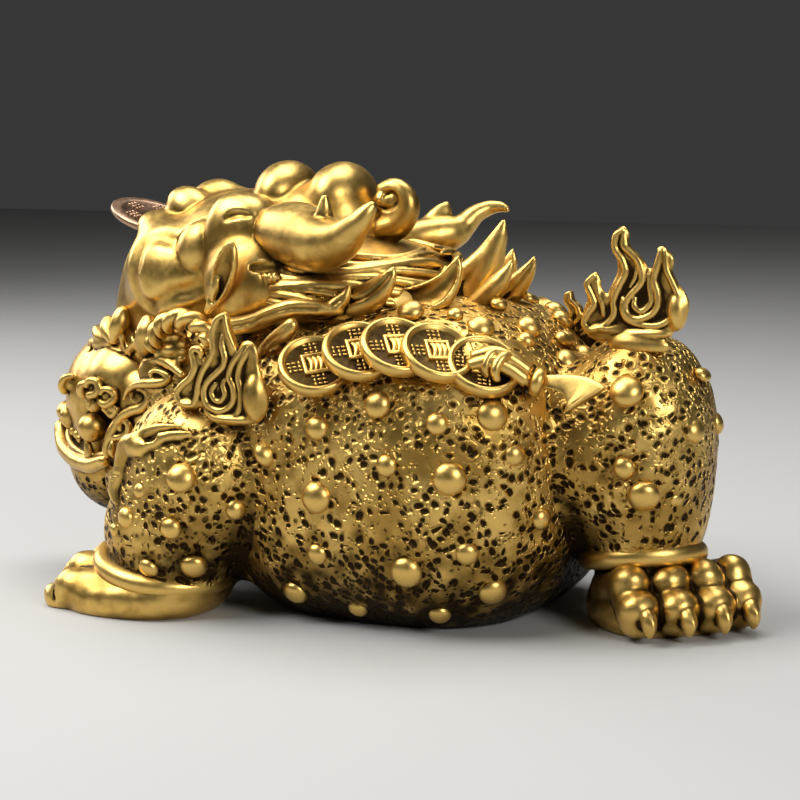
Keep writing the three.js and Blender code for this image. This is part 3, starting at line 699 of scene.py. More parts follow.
# Outlines and ridge lines as [x, z] from the middle of each flame's foot.
HIND_FLAME = pairs(
    -20.7, 2.3, -19.8, 7.4, -18.8, 12.4, -19.9, 17.4, -18.6, 21.1, -15.6, 23.1, -13.8, 21, -13.1, 17.6, -10.9, 15.2,
    -9.6, 17.7, -7, 23.4, -7.4, 28.3, -9.5, 32.6, -9, 36.3, -6.9, 39.4, -4.6, 40.2, -2.6, 38.3, -2.5, 34.6,
    -1.2, 31.2, 3.1, 28, 6, 25, 7.9, 28.1, 8.8, 30.6, 8.4, 32.3, 10.1, 33.5, 12.7, 31.9, 15, 29, 14.6, 24.1,
    16.4, 20.5, 19.5, 16.9, 21.1, 12.7, 20.3, 8.4, 17.4, 4, 12.6, 1, 3.5, -2.5, -4.4, -3, -9.7, -3, -16.3, -2,
    -19.7, 0.5,
)
HIND_RIDGES = [
    (pairs(-16.3, 21.8, -18.7, 18.3, -16.5, 13.8, -15.7, 10.7, -18.3, 6.8, -19.6, 3.6, -17.5, 1.4, -13.7, 2,
        -9.7, 4.7, -7.8, 7.9, -8, 12.8, -5.9, 17.9, -3.5, 22.9, -4.8, 27.8, -7.8, 32, -7.3, 36.9, -4.9, 38.9), 1),
    (pairs(-4.3, 37.3, -4.3, 33.3, -1.9, 30.9, 1.8, 27.3, 3.1, 22.5, 2.5, 19.1, -1.3, 14.9, -3.1, 11.8, -3.1, 8.7,
        -0.5, 6.4, 3.4, 6.4, 7.3, 8.4, 9.3, 11.6, 9.2, 15.9, 7.8, 20.8, 8.9, 26.3, 9.9, 31.5), 1.05),
    (pairs(0.3, 13.8, 0.2, 11, 2.7, 9.1, 5.3, 10.6, 6.9, 13.4, 6.2, 18.3, 5.7, 22.6), 0.9),
    (pairs(12, 31.6, 12.5, 25.2, 14.8, 20.4, 17, 15.6, 16.9, 11.3, 14.4, 6.9, 9.3, 4.1, 2.1, 4.3, -2.8, 6.1,
        -4.5, 9.9, -4.4, 13.6), 0.95),
    (pairs(-3.4, 36, -2.9, 32.5, 0.8, 27.6, 0.6, 22.2, -1.5, 18), 0.6),
    (pairs(-14.8, 19.5, -14.2, 15, -12.6, 11, -12, 7), 0.7),
]
FRONT_FLAME = pairs(
    -12.7, 23.9, -12.3, 21.4, -12, 18.7, -13.3, 15.3, -16.4, 12.3, -19.4, 9.6, -20.5, 6.5, -19.4, 3.5, -16, 1.6,
    -11.7, 1.2, -8.8, 2.1, -7.2, 1.5, -5.4, -0.3, -2, -2.3, 3.1, -3.2, 8.2, -3.2, 13.3, -2.8, 17.1, -1.1, 19.9, 2.3,
    20.9, 6.5, 20.2, 11.1, 18.3, 15.3, 16.9, 20.3, 16.6, 24.8, 15, 27.7, 12.2, 28.9, 9.6, 27.9, 8.2, 25.6, 7.3, 27.1,
    5.6, 31, 4.6, 34.8, 4.1, 37.8, 2.4, 39.4, 0.1, 38.4, -2, 35.5, -3.3, 32.1, -3.5, 28.3, -3.2, 24.8, -4.5, 22.2,
    -6.9, 21.8, -7.8, 24.8, -10, 25.8,
)
FRONT_RIDGES = [
    (pairs(-7.8, 22.2, -8.3, 24.2, -10.5, 24.7, -11.7, 23.2, -11.1, 20.3, -10.8, 17.2, -12.8, 13.4, -16.2, 10.7,
        -18.6, 7.7, -17.9, 4.6, -14.7, 2.9, -11.3, 3.7, -9.8, 6.9, -9, 11.1, -7.3, 15.7, -4.5, 20.1, -2.3, 24.1,
        -2.7, 28.7, -2.2, 32.5, -0.5, 36.1, 1.9, 38.1), 1.05),
    (pairs(1.9, 30.2, 1.6, 27.1, 2.1, 24.8, 2.8, 21.8, 2.1, 18.7, -1.1, 15.7, -5, 12.3, -6.6, 8.1, -5.4, 3.9,
        -1.1, 1.7, 3.5, 2.7, 6.5, 6.1, 6.3, 11.1, 4.6, 14.9, 6, 19.4, 9.2, 23.7, 11.4, 27.1), 1.05),
    (pairs(2.7, 38.4, 3.3, 34.8, 4.3, 31.3, 6, 27.5, 7.2, 24.8), 0.8),
    (pairs(-1.6, 11.9, -3.3, 8.8, -2, 5.8, 0.7, 5.4, 2.6, 8.1, 1.9, 11.9, 3.6, 14.5), 0.85),
    (pairs(-6.1, 1.5, -2.4, -1.1, 3.1, -1.9, 7.3, 0.3, 9.4, 4.2, 9.7, 9.6, 8.6, 14.9, 9.6, 19.5, 11.7, 23.3,
        12.9, 26), 1.05),
]


def inward(outline, u, v):
    """How far inside a closed outline each place lies, below nought outside: the least distance to its spans, with
    the sign of the winding test."""
    line = np.array(outline, float)
    ring = smooth_line(np.vstack([line, line[:1]]), 6)
    best, inside = np.full(u.shape, 1e9), np.zeros(u.shape, bool)
    for (ax, ay), (bx, by) in zip(ring[:-1], ring[1:]):
        run = (bx - ax, by - ay)
        t = np.clip(((u - ax) * run[0] + (v - ay) * run[1]) / (run[0] ** 2 + run[1] ** 2 + 1e-9), 0, 1)
        best = np.minimum(best, (u - ax - t * run[0]) ** 2 + (v - ay - t * run[1]) ** 2)
        crosses = (ay > v) != (by > v)
        inside ^= crosses & (u < ax + (v - ay) * run[0] / (run[1] if abs(run[1]) > 1e-9 else 1e-9))
    return np.where(inside, 1, -1) * np.sqrt(best)


def flame(outline, ridges, swells, thick, scale=1.0):
    """A flame of curling tongues: a plate whose half thickness grows as a quarter circle inward from its outline,
    with round swellings and with ridges that fold round its hollows on both faces."""
    span = np.array(outline, float) * scale
    low = np.array([span[:, 0].min() - 3, -thick - 6, span[:, 1].min() - 3])
    high = np.array([span[:, 0].max() + 3, thick + 6, span[:, 1].max() + 3])
    clay = Clay(low, high, 0.5)
    _, (x, y, z) = clay.window(low, high)
    deep = inward(span, *np.broadcast_arrays(x[:, 0, :], z[:, 0, :]))[:, None, :]
    body = thick * np.sqrt(np.clip(1 - (1 - np.clip(deep, 0, 2.6) / 2.6) ** 2, 0, 1)) - 0.16 * np.clip(deep - 2.5, 0, 3)
    clay.depth = np.maximum(-deep, np.abs(y) - body).astype(np.float32)
    for (cx, cz), half in swells:
        clay.add(egg(np.array([cx, 0, cz]) * scale, np.array(half, float) * scale), 1.5)
    for line, radius in ridges:
        line = np.array(line, float) * scale
        for side in (-1, 1):
            stations = np.column_stack([line[:, 0], np.full(len(line), side * thick * 0.7), line[:, 1],
                                        np.full(len(line), radius * 1.3 * scale**0.5)])
            stations[[0, -1], 3] *= 0.6
            clay.add(cord(stations, 4), 0.35)
    return clay.skin()


def make_flames():
    front_swells = [((15.2, 7.5), (4.9, 4.6, 9)), ((5, -1.3), (9, 3.2, 2)), ((-14.3, 3.2), (4, 3, 1.8))]
    front = flame(FRONT_FLAME, FRONT_RIDGES, front_swells, 1.5)
    hind_swells = [((-11, 2), (6, 2.6, 1.8)), ((16.6, 9.5), (3.6, 3.6, 7)), ((6, 1), (9, 2.9, 1.8)),
                   ((2, -3.5), (12, 3.6, 4.6))]
    hind = flame(HIND_FLAME, HIND_RIDGES, hind_swells, 1.3)
    small = flame(HIND_FLAME, HIND_RIDGES[:3], hind_swells, 1.9, 0.52)
    piece = Piece("flames", grime=1.7, kept=0.65)
    piece.both(placed(front, [-38.5, -73.5, 80.6]))
    piece.put(placed(hind, [104.5, -14, 112]))
    piece.put(placed(small, [67.5, 20, 104]))
    return piece


# Coins and their cord

NEAR_COINS = [
    ([-1.2, -67, 100.6], [0.33, -0.58, 0.74]), ([15.8, -64, 106.6], [0.38, -0.52, 0.76]),
    ([30.2, -61.5, 108.6], [0.44, -0.46, 0.77]), ([44.5, -57, 106.8], [0.5, -0.42, 0.76]),
    ([59.6, -50, 101.8], [0.46, -0.48, 0.75]),
]
COIN_RADIUS = 14.0


def inscription(number, centre, size, height):
    """Three rows of three short raised strokes that spell nothing, level or upright by a fixed rule of their count.
    Each is a round bar that narrows at its ends."""
    for count in range(9):
        x, y = (count % 3 - 1) * 0.7, (1 - count // 3) * 0.7
        dx, dy = (0.27, 0.0) if (count * 5 + number * 3) % 7 < 4 else (0.0, 0.27)
        a, b = (np.array([centre[0] + (x + s * dx) * size, centre[1] + (y + s * dy) * size, height]) for s in (-1, 1))
        ends = ((-0.02, 0.35), (0.06, 0.95), (0.5, 1), (0.94, 0.95), (1.02, 0.35))
        yield swept([np.append(a + (b - a) * t, 0.42 * r) for t, r in ends], (0, 0, 1), round_section, 1, 8)


def square_frame(half, width, height):
    """A square ring with a rounded top: the section is carried round the four corners."""
    t = np.linspace(0, 2 * math.pi, 12, endpoint=False)
    across = half + np.sign(np.cos(t)) * np.abs(np.cos(t)) ** 0.6 * width / 2
    up = np.sign(np.sin(t)) * np.abs(np.sin(t)) ** 0.6 * height
    spots = [(1, -1), (1, 1), (-1, 1), (-1, -1)]
    corners = []
    for (ax, ay), (bx, by) in zip(spots, spots[1:] + spots[:1]):
        corners += [(ax + (bx - ax) * s, ay + (by - ay) * s) for s in (0, 0.04, 0.5, 0.96)]
    corners = np.array(corners)
    points = np.concatenate([corners[:, None, :] * across[None, :, None], np.broadcast_to(up, (16, 12))[..., None]], -1)
    return endless(points)


def coin_parts(first_sign):
    """A cast coin facing +Z: a raised rounded rim, a dished field, a raised square frame with the cord's strands
    showing through it, and four raised signs."""
    r = COIN_RADIUS
    top = [[0.01, 0.9], [r - 3.4, 0.9], [r - 2.9, 1.1], [r - 2.3, 2.1], [r - 1.5, 2.5], [r - 0.7, 2.3], [r - 0.15, 1.6]]
    under = [[r, 0.6], [r, -1.6], [r - 0.4, -2.2], [r - 1.2, -2.4], [0.01, -2.4]]
    disc = turned_disc((top + under)[::-1])
    parts = [disc, placed(square_frame(4.1, 1.5, 1.35), [0, 0, 0.9])]
    for i, (x, y) in enumerate(((0, 7.8), (0, -7.8), (7.8, 0), (-7.8, 0))):
        parts += list(inscription(first_sign + i, (x, y), 2.7, 1.1))
    for x in (-1.9, 0, 1.9):
        strand = [[x - 0.4, -3.6, 0.6, 1], [x + 0.5, -1.5, 1.4, 1.1], [x + 0.5, 1.5, 1.4, 1.1], [x - 0.4, 3.6, 0.6, 1]]
        parts.append(swept(strand, (0, 0, 1), round_section, 4, 8))
    return parts


def make_coins():
    """The coin strings: five coins a side, then a knot of three swept strands and two loops, a turned collar and a
    tail that widens as a leaf."""
    piece = Piece("coin_strings", grime=0.6)
    for number, (centre, facing) in enumerate(NEAR_COINS):
        matrix = facing_frame(facing, 12 - number * 6)
        for part in coin_parts(number):
            piece.put(placed(part, centre, matrix))
            piece.put(flipped(placed(part, centre + unit(np.array(facing)) * 2.5, matrix)))
    knot = [[56, -53, 104, 2.4], [63, -50.5, 105.5, 3], [69, -47.5, 103.5, 3.2], [76, -45, 98.5, 2.6]]
    for shift, lift in ((-2.2, -1.6), (0.2, 1.2), (2.2, -2.2)):
        strand = np.array(knot) + [0, shift, lift, 0]
        piece.both(swept(strand, (0.3, -0.8, 0.6), round_section, 5, 12))
    for along, lean in ((0.0, 0.0), (4.0, -1.3)):
        loop = [[63 + along, -53.8, 98.5 + lean, 1.4], [62.5 + along, -54.6, 102.5 + lean, 1.9],
                [64 + along, -51.5, 107 + lean, 2], [66 + along, -46.5, 107 + lean, 1.6]]
        piece.both(swept(loop, (1, 0, 0), round_section, 5, 12))
    along = unit(np.array([5.0, 1.8, -1.8]))
    ring_turn = facing_frame(along)
    t = np.linspace(0, 2 * math.pi, 17)[:-1]
    profile = np.column_stack([3.9 + np.cos(t) * 1.5, np.sin(t) * 2.2])
    piece.both(placed(endless(round_about(profile, 40).transpose(1, 0, 2)), [78.5, -44, 96.5], ring_turn))
    tail = [[77, -43.8, 96.8, 2.2], [80, -43.4, 97, 2.3], [83.1, -43, 96.8, 2.8], [88.4, -41.5, 96, 4],
            [92.9, -41, 94, 6.2], [95.4, -41.3, 92, 8], [96.6, -41.6, 90.6, 8.8]]
    piece.both(swept(tail, (0, -0.8, 0.6), flat_section(0.3), 6, 28))
    return piece


# Head

# The horns, thorns and ears are lists of stations [x, y, z, radius], as are the lists below.
HORN = [
    [-37, -35, 147.5, 8], [-31, -37, 147.5, 12], [-21, -42, 147, 12.8], [-7, -51, 145, 10.8], [5, -57.5, 147, 7.6],
    [12.5, -61, 152, 5.2], [17, -61.5, 156.5, 3.6], [19.3, -61, 159.5, 2.2],
]
THORN = [[-9, -49, 148, 4.6], [-5.5, -52, 156, 3.4], [-4.6, -53, 162, 1.5]]
# The far horn lies a little lower and its thorn is a broad fin.
FAR_HORN = [
    [-30, 33, 143, 7], [-22, 35, 142, 7.5], [-16, 37, 141.7, 7], [-9.7, 42, 142.8, 7.8], [-4.3, 47, 143.6, 7.9],
    [-0.2, 51, 144.9, 6.5], [2.7, 54, 147.6, 5.1], [6.6, 57, 152.1, 4], [11.2, 60, 154.6, 3.1],
    [15.8, 61, 155.1, 2.2], [19, 61, 154.2, 1.3],
]
FAR_THORN = [
    [-6.8, 45, 146, 6.5], [-6.2, 46, 148.2, 6], [-4.8, 48, 152.4, 4.2], [-3.7, 49.5, 155.5, 2],
    [-3.3, 50, 156.8, 0.8],
]
EAR = [
    [-55.5, -55, 117.8, 1.4], [-50.9, -57.5, 122.5, 2.9], [-46.9, -59.5, 127.4, 4.2], [-43.6, -61, 134.5, 4.9],
    [-41.9, -60.8, 141, 3.4], [-41, -60, 145.3, 0.9],
]
EAR_FACING = np.array([0.3, -0.95, 0.05])
# Soft valleys beside the muzzle and under the eye.
MUZZLE_FOLD = [
    [-74, -43.7, 144.6, 1], [-81, -40, 143.5, 1.6], [-88.5, -35.6, 141.8, 2], [-93.8, -36.8, 138.4, 2.2],
    [-96.4, -39.4, 133.4, 2.2], [-97.9, -39.8, 128.4, 1.9], [-96.6, -42, 120.6, 1.7], [-92.6, -43.5, 115.8, 1],
]
CHEEK_FOLD = [
    [-90.6, -44, 115.9, 1], [-83.3, -44.1, 120.2, 1.6], [-77.5, -43.9, 123.4, 2], [-71.2, -42.8, 125, 1.9],
    [-64, -45, 127.5, 1.2],
]
LIP_LINE = [
    [-125, -4, 146, 0.6], [-122.5, -13, 146, 0.9], [-119, -20, 145.5, 1], [-115, -25.5, 144.5, 0.9],
    [-111.5, -29.5, 143, 0.5],
]
BROW_HOLLOW = [
    [-52.5, -42.7, 152.3, 1.3], [-50.5, -42.2, 153.2, 2], [-47.5, -42, 153.8, 1.8], [-43.4, -43.2, 154.4, 1.3],
    [-37.4, -44.5, 155, 0.7],
]
# The head's masses: middle, half widths, lean, power and softness. Those off the middle come in pairs.
HEAD_MASSES = [
    ([-91, 0, 122], [33, 36, 29], 20, 2.2, 6), ([-104, 0, 108], [25, 30, 24], 0, 2, 6),
    ([-58, 0, 136], [42, 42, 27], 6, 2.2, 6), ([-20, 0, 122], [48, 50, 24], 6, 2.2, 6),
    ([-84, 0, 158], [12, 10, 9], 0, 2, 4), ([-88, -13.5, 155.2], [11.5, 9.5, 8.2], 30, 2, 1),
    ([-95, -18, 145], [15.5, 13, 8.5], 22, 2, 4), ([-82, -26, 128], [28, 20, 22], 20, 2, 4),
    ([-53.3, -32.5, 143], [14.6, 14, 20], 11, 2.7, 3), ([-36, 0, 149], [29, 22, 18], 0, 2, 3),
    ([-25.5, 0, 160.3], [12.8, 19, 14.3], 0, 2, 3), ([-50.6, 0, 160.3], [12.2, 19, 14.6], 0, 2, 1.6),
    ([-45.5, -42, 127.5], [18, 13, 19], 10, 2, 3),
]


def head_clay():
    """The head: the soft union of its masses, with folds carved as cords, balls for the eyes in carved sockets,
    cords for the horns and thorns, and a hollowed blade for each ear."""
    clay = Clay([-133, -70, 76], [34, 70, 178], 0.7)
    for centre, half, lean, power, soft in HEAD_MASSES:
        (clay.add_pair if centre[1] else clay.add)(mass(centre, half, lean, power), soft)
    for valley in (MUZZLE_FOLD, CHEEK_FOLD):
        clay.carve_pair(cord(clay.settle(valley, 0.8), 4), 4.5)
    clay.carve_pair(egg([-69, -36.5, 140.4], [10.9, 8.7, 12.8], turn(y=25)), 0.8)
    clay.add_pair(egg([-69, -36.5, 140.4], [10.4, 9.6, 12.2], turn(y=25)), 0.3)
    clay.add(cord(HORN, 12), 0.5)
    clay.add(cord(THORN, 5), 1.2)
    clay.add(cord(FAR_HORN, 12), 0.5)
    clay.add(cord(FAR_THORN, 5, (0.45, -0.89, 0), 0.5), 1.6)
    clay.carve_pair(cord(clay.settle(BROW_HOLLOW, 0.5), 5), 0.8)
    clay.carve_pair(cord(clay.settle(LIP_LINE), 5), 1.5)
    clay.add_pair(egg([-30.3, -49, 131.2], [4, 3, 2.8]), 1)
    clay.carve_pair(cord([[-36.2, -52, 135.2, 2], [-32.2, -50, 135.4, 2.5], [-28.4, -47.4, 135.4, 2.1]]), 0.6)
    for x in (-33, -31, -29, -27):
        line = [[x, -50, 133.4, 0.5], [x + 0.2, -50.5, 131.4, 0.55], [x + 0.2, -50, 129.2, 0.4]]
        clay.carve_pair(cord(clay.settle(line), 3), 0.5)
    clay.add_pair(cord(EAR, 6, EAR_FACING, 0.55), 0.6)
    dent = np.array(EAR[1:]) * [1, 1, 1, 0.7] + np.append(EAR_FACING * 2.0, 0) + [-1.0, 0, 0, 0]
    clay.carve_pair(cord(dent, 6, EAR_FACING, 0.85), 0.4)
    clay.add_pair(cord([[-50.6, -58.8, 123, 1.2], [-48.7, -60, 127, 1.7], [-47.4, -60.6, 130.5, 1]]), 0.8)
    return clay


def make_head():
    return Piece("head", grime=0.7, kept=0.52).put(hammered(head_clay().skin(), 0.12, 8, 4))


CURL = level(
    0, -22, 141, 5.4, -12.6, 145.4, 6, -6.7, 147.6, 6.2, -0.6, 150.2, 5.6, 3, 154.8, 5, 3.4, 159, 4.5,
    0.9, 162.9, 4.1, -2.9, 164.5, 3.8, -6.6, 163.6, 3.4,
)
CURL_CREASE = level(
    -5, -11.5, 157.6, 0.6, -9.9, 157.2, 0.7, -6.3, 155.9, 0.8, -2.5, 156.5, 0.9, -0.3, 158.7, 0.9, -0.3, 161, 0.9,
    -2, 162.5, 0.9, -4, 162.2, 0.8, -4.5, 161, 0.5,
)


def make_curl():
    """The comma-shaped curl on the crown: a thick cord that rises and winds over itself round a ball, filled in the
    middle, with one crease along the turn."""
    clay = Clay([-30, -12, 130], [14, 12, 176], 0.5)
    clay.add(cord(CURL, 10), 0.4)
    clay.add(egg([-2.5, 0, 156], [6.5, 4.3, 7]), 2)
    clay.add(egg([-6.6, 0, 159.6], [4.3, 5.2, 4.2]), 1)
    clay.carve_pair(cord(clay.settle(CURL_CREASE), 5), 0.8)
    return Piece("curl").put(hammered(clay.skin(), 0.1, 6, 5))


# Blades of the mane: stations, the direction that their flat side faces and the thickness share.
# One of the paired ones is dished, and the others have a groove.
DISHED = 1
MIDDLE_BLADES = [
    (level(-1, 24, 112, 6, 32, 120.5, 7.4, 35.4, 127.8, 7.4, 38.4, 134.1, 6.6, 40.9, 140.4, 5, 43.4, 146.2, 3.4,
        44.9, 150.5, 1.8, 45.5, 152.6, 0.8), (0.35, -0.93, 0.1), 0.75),
    ([[4, -9, 135, 2.2], [14, -8, 132.5, 3], [23, -6, 131, 3.6], [30.5, -4, 132.5, 4.2], [36, -2.5, 137, 4],
        [40, -1.5, 142.5, 2.8], [42.5, -1, 147, 1.4]], (0.35, -0.93, 0.1), 0.8),
]
PAIRED_BLADES = [
    (level(11, 30, 113, 3.8, 38, 119.5, 4.5, 43, 123.8, 4.9, 47.2, 128.4, 4.3, 50.4, 132.4, 3, 52.4, 135.6, 1.7,
        53.2, 138, 0.7), (0.35, -0.93, 0.1), 0.8),
    ([[4, -33, 118, 4.5], [14.3, -31, 121.3, 5.6], [21.1, -30, 121.7, 6.8], [28.8, -29, 124.3, 7],
        [33.8, -27, 129.4, 5], [36.6, -26, 135, 3], [37.5, -25.5, 139.3, 1]], (0.25, -0.9, 0.35), 0.6),
    ([[-14, -43, 118, 4], [-5, -43, 120.5, 5], [1, -43, 121.7, 5.9], [8, -42.5, 124.2, 6.1],
        [13.3, -41.5, 128.6, 4.7], [16.6, -41, 132.9, 2.6], [17.9, -40.5, 135.8, 0.9]], (0.25, -0.92, 0.3), 0.7),
    ([[-18, -50, 118.5, 2.6], [-7.7, -50.5, 119, 2.8], [-3, -50, 120.9, 3.1], [0.8, -49, 124, 2.7],
        [3, -48.5, 128.2, 1.2]], (0.2, -0.95, 0.2), 0.9),
    ([[-62, -47, 112, 2], [-53, -52, 112, 3], [-45.1, -54.5, 112.4, 3.5], [-33.6, -56.5, 114.6, 3.5],
        [-24.1, -57, 118.4, 3.7], [-16, -56, 120.6, 3.6], [-7.1, -53, 120.6, 2.8], [0, -50, 119.6, 1.6]],
        (0.1, -0.98, 0.1), 0.9),
    ([[-33, -57, 101, 1.6], [-27, -60, 105.5, 2], [-22.6, -61, 108.8, 2.6], [-17.4, -61, 112, 3.3],
        [-14.9, -61, 114.2, 3], [-14.5, -61, 115.6, 1.8]], (0.1, -0.98, 0.1), 0.9),
]


def head_strand(first, last, start, stop, sway, phase, radius):
    """A strand of hair on the back of the head: it follows the swollen ellipse of the head's width while its height
    goes evenly from first to last and sways."""
    t = np.linspace(0, 1, 11)
    angle = np.radians(start + (stop - start) * t)
    z = first + (last - first) * t + sway * np.sin(2 * math.pi * (1.1 * t + phase))
    wide = np.sqrt(np.clip(1 - ((z - 122) / 26) ** 2, 0.05, 1))
    x, y = -20 + 48.5 * wide * np.cos(angle), -50.5 * wide * np.sin(angle)
    return np.column_stack([x, y, z, radius * np.clip(np.sin(math.pi * t) * 3, 0.45, 1)])


def hair_clay():
    """The mane: strands round the back of the head and flat cords for the blades, grooved or dished."""
    clay = Clay([-70, -68, 96], [60, 68, 158], 0.7)
    clay.add(mass([-20, 0, 122], [46, 48, 22], 6, 2.2), 1)
    for number in range(9):
        share = number / 8
        first, last, start = 141 - 20 * share, 140 - 24 * share, 122 - 12 * share
        strand = head_strand(first, last, start, 6, 2.0, 0.16 * number, 1.75 + 0.3 * (number % 3))
        clay.add_pair(cord(strand, 3), 0.25)
    for stations, facing, flat in MIDDLE_BLADES:
        clay.add(cord(stations, 5, facing, flat), 0.8)
    for number, (stations, facing, flat) in enumerate(PAIRED_BLADES):
        clay.add_pair(cord(stations, 5, facing, flat), 0.8)
        inner = np.array(stations[1:-1])
        if number == DISHED:
            inner = inner * [1, 1, 1, 0.68] + np.append(np.array(facing) * 1.9, 0) + [0, 0, 0.8, 0]
            clay.carve_pair(cord(inner, 5, facing, 0.6), 0.5)
        else:
            inner[:, :3] += unit(np.array(facing)) * inner[:, 3:] * flat * 1.05
            clay.carve_pair(cord(inner * [1, 1, 1, 0] + [0, 0, 0, 0.8], 5), 0.8)
    return clay


def make_hair():
    return Piece("hair", kept=0.6).put(hammered(hair_clay().skin(), 0.1, 5, 7))


# Beast face on the chest

FACE_CURLS = [
    level(-38, -125.7, 84.8, 0.9, -127.7, 83, 1.3, -128.8, 80.6, 1.5, -128.8, 78.5, 1.4, -127.8, 77.3, 0.9),
    level(-38, -123.5, 82.9, 0.9, -122.2, 84.2, 1.2, -120.1, 84.2, 1.2, -119.3, 82.6, 1.2, -120.3, 80.9, 1.2,
        -122.5, 80.1, 1.2, -124.2, 79.9, 0.8),
    level(-38, -119.2, 78.4, 0.9, -118.1, 76.8, 1.2, -115.4, 76.6, 1.3, -112.5, 77.8, 1.3, -111.4, 79.7, 1.2,
        -113, 81, 1.1, -115.3, 81, 0.9, -116.4, 80, 0.6),
    level(-37, -117.5, 73.1, 0.9, -116.5, 71.5, 1, -113.6, 71.3, 1.1, -111.3, 72.6, 1.1, -111.3, 74.4, 1,
        -113.4, 75, 0.8, -114.5, 74, 0.5),
    level(-28, -143.6, 79, 1.4, -142.6, 81.3, 1.2, -141.5, 83.2, 1.1, -139.2, 84.7, 0.8),
]
CURL_CUT = level(-40, -126.1, 76, 0.5, -125, 73.8, 0.55, -123, 74.7, 0.5, -122.4, 76.9, 0.4)
FACE_PETALS = [
    [[-114.5, -33, 101.8, 1.8], [-112, -33, 107.7, 3.9], [-111.1, -32, 112.5, 3], [-111.7, -31, 114.5, 1.2]],
    [[-117.6, -30, 101.4, 1.8], [-121.6, -27, 105.1, 3.5], [-122.9, -25, 108.2, 2.6], [-122.4, -25, 109.8, 1.2]],
    [[-120.7, -27, 100.5, 1.8], [-127.5, -23, 101.5, 3.1], [-131.5, -20, 103.6, 2.6], [-133.2, -19, 104.7, 1.3]],
    [[-119.5, -28, 99.9, 1.8], [-127.5, -23, 98.6, 2.9], [-134.6, -18, 98.2, 2.5], [-138, -16, 98.3, 1.3]],
]
FACE_SCROLLS = [
    level(-38, -115.4, 56.2, 1.4, -113.5, 62.1, 2, -110.8, 67.1, 2, -106.9, 71.7, 1.6, -103.8, 74.3, 1.4),
    level(-39, -108.2, 66.1, 0.8, -107.8, 68.3, 1, -105.7, 69.7, 1.2, -103.9, 68.6, 1.3, -104.1, 65.7, 1.3,
        -106.4, 63.4, 1.3, -109.4, 62.5, 1.2, -112.3, 62.3, 1.2, -114.5, 60.3, 1.2, -115.4, 57, 1.3,
        -114.9, 54.8, 1.1),
    level(-40, -108.6, 69.4, 1.1, -105.4, 72.3, 1.5, -101, 74.4, 1.7, -96.5, 75.8, 1.7, -93.5, 78.5, 1.7,
        -93.4, 81.6, 1.5, -96.2, 83.5, 1.3, -99.6, 83.1, 1, -101.6, 80.8, 0.9, -100.9, 78.5, 0.8, -98.7, 78.2, 0.7,
        -97.4, 79.7, 0.6, -98.6, 80.9, 0.5),
    [[-104.7, -41, 78.9, 0.6], [-103.1, -41, 82, 0.9], [-98.4, -43, 84.9, 1.2], [-92, -45.5, 86.5, 1.5],
        [-85.7, -46, 87.1, 1.6], [-81.3, -46, 88, 1.5], [-79.7, -46, 89.9, 1.3], [-82.4, -46.3, 91.4, 1],
        [-85.6, -46.3, 92, 0.8], [-88.3, -46.3, 90.7, 0.7], [-87.2, -46.3, 89.2, 0.6]],
    [[-92.5, -42, 94.8, 1.5], [-85.9, -44, 96.1, 1.6], [-79, -46, 95.1, 1.7], [-72, -48, 91.5, 1.2]],
]
JAW = [
    [-163, 0, 60.5, 2.8], [-161.5, -6, 59.6, 2.9], [-159.1, -9, 55.9, 3.2], [-152.7, -15, 51.5, 3.6],
    [-140.7, -24, 48.9, 3.7], [-128.6, -31, 48.7, 3.5], [-117.8, -37, 52, 2.6],
]
INNER_JAW = [
    [-154, -10, 60, 1.2], [-150.8, -15.5, 57.5, 1.4], [-142.8, -22.5, 53.8, 1.4], [-130.2, -29.5, 52.2, 1.4],
    [-120, -34.5, 54.5, 1.2],
]
FACE_SEAM = [
    [-134, -16, 98.5, 0.5], [-127.7, -22, 97, 0.5], [-118.9, -28, 96, 0.5], [-109.6, -33, 97, 0.5],
    [-97.5, -37, 97.4, 0.5], [-96.7, -38, 92.1, 0.5], [-101, -36, 88, 0.5], [-107.1, -33, 83.2, 0.5],
    [-110.1, -33, 78.9, 0.5],
]


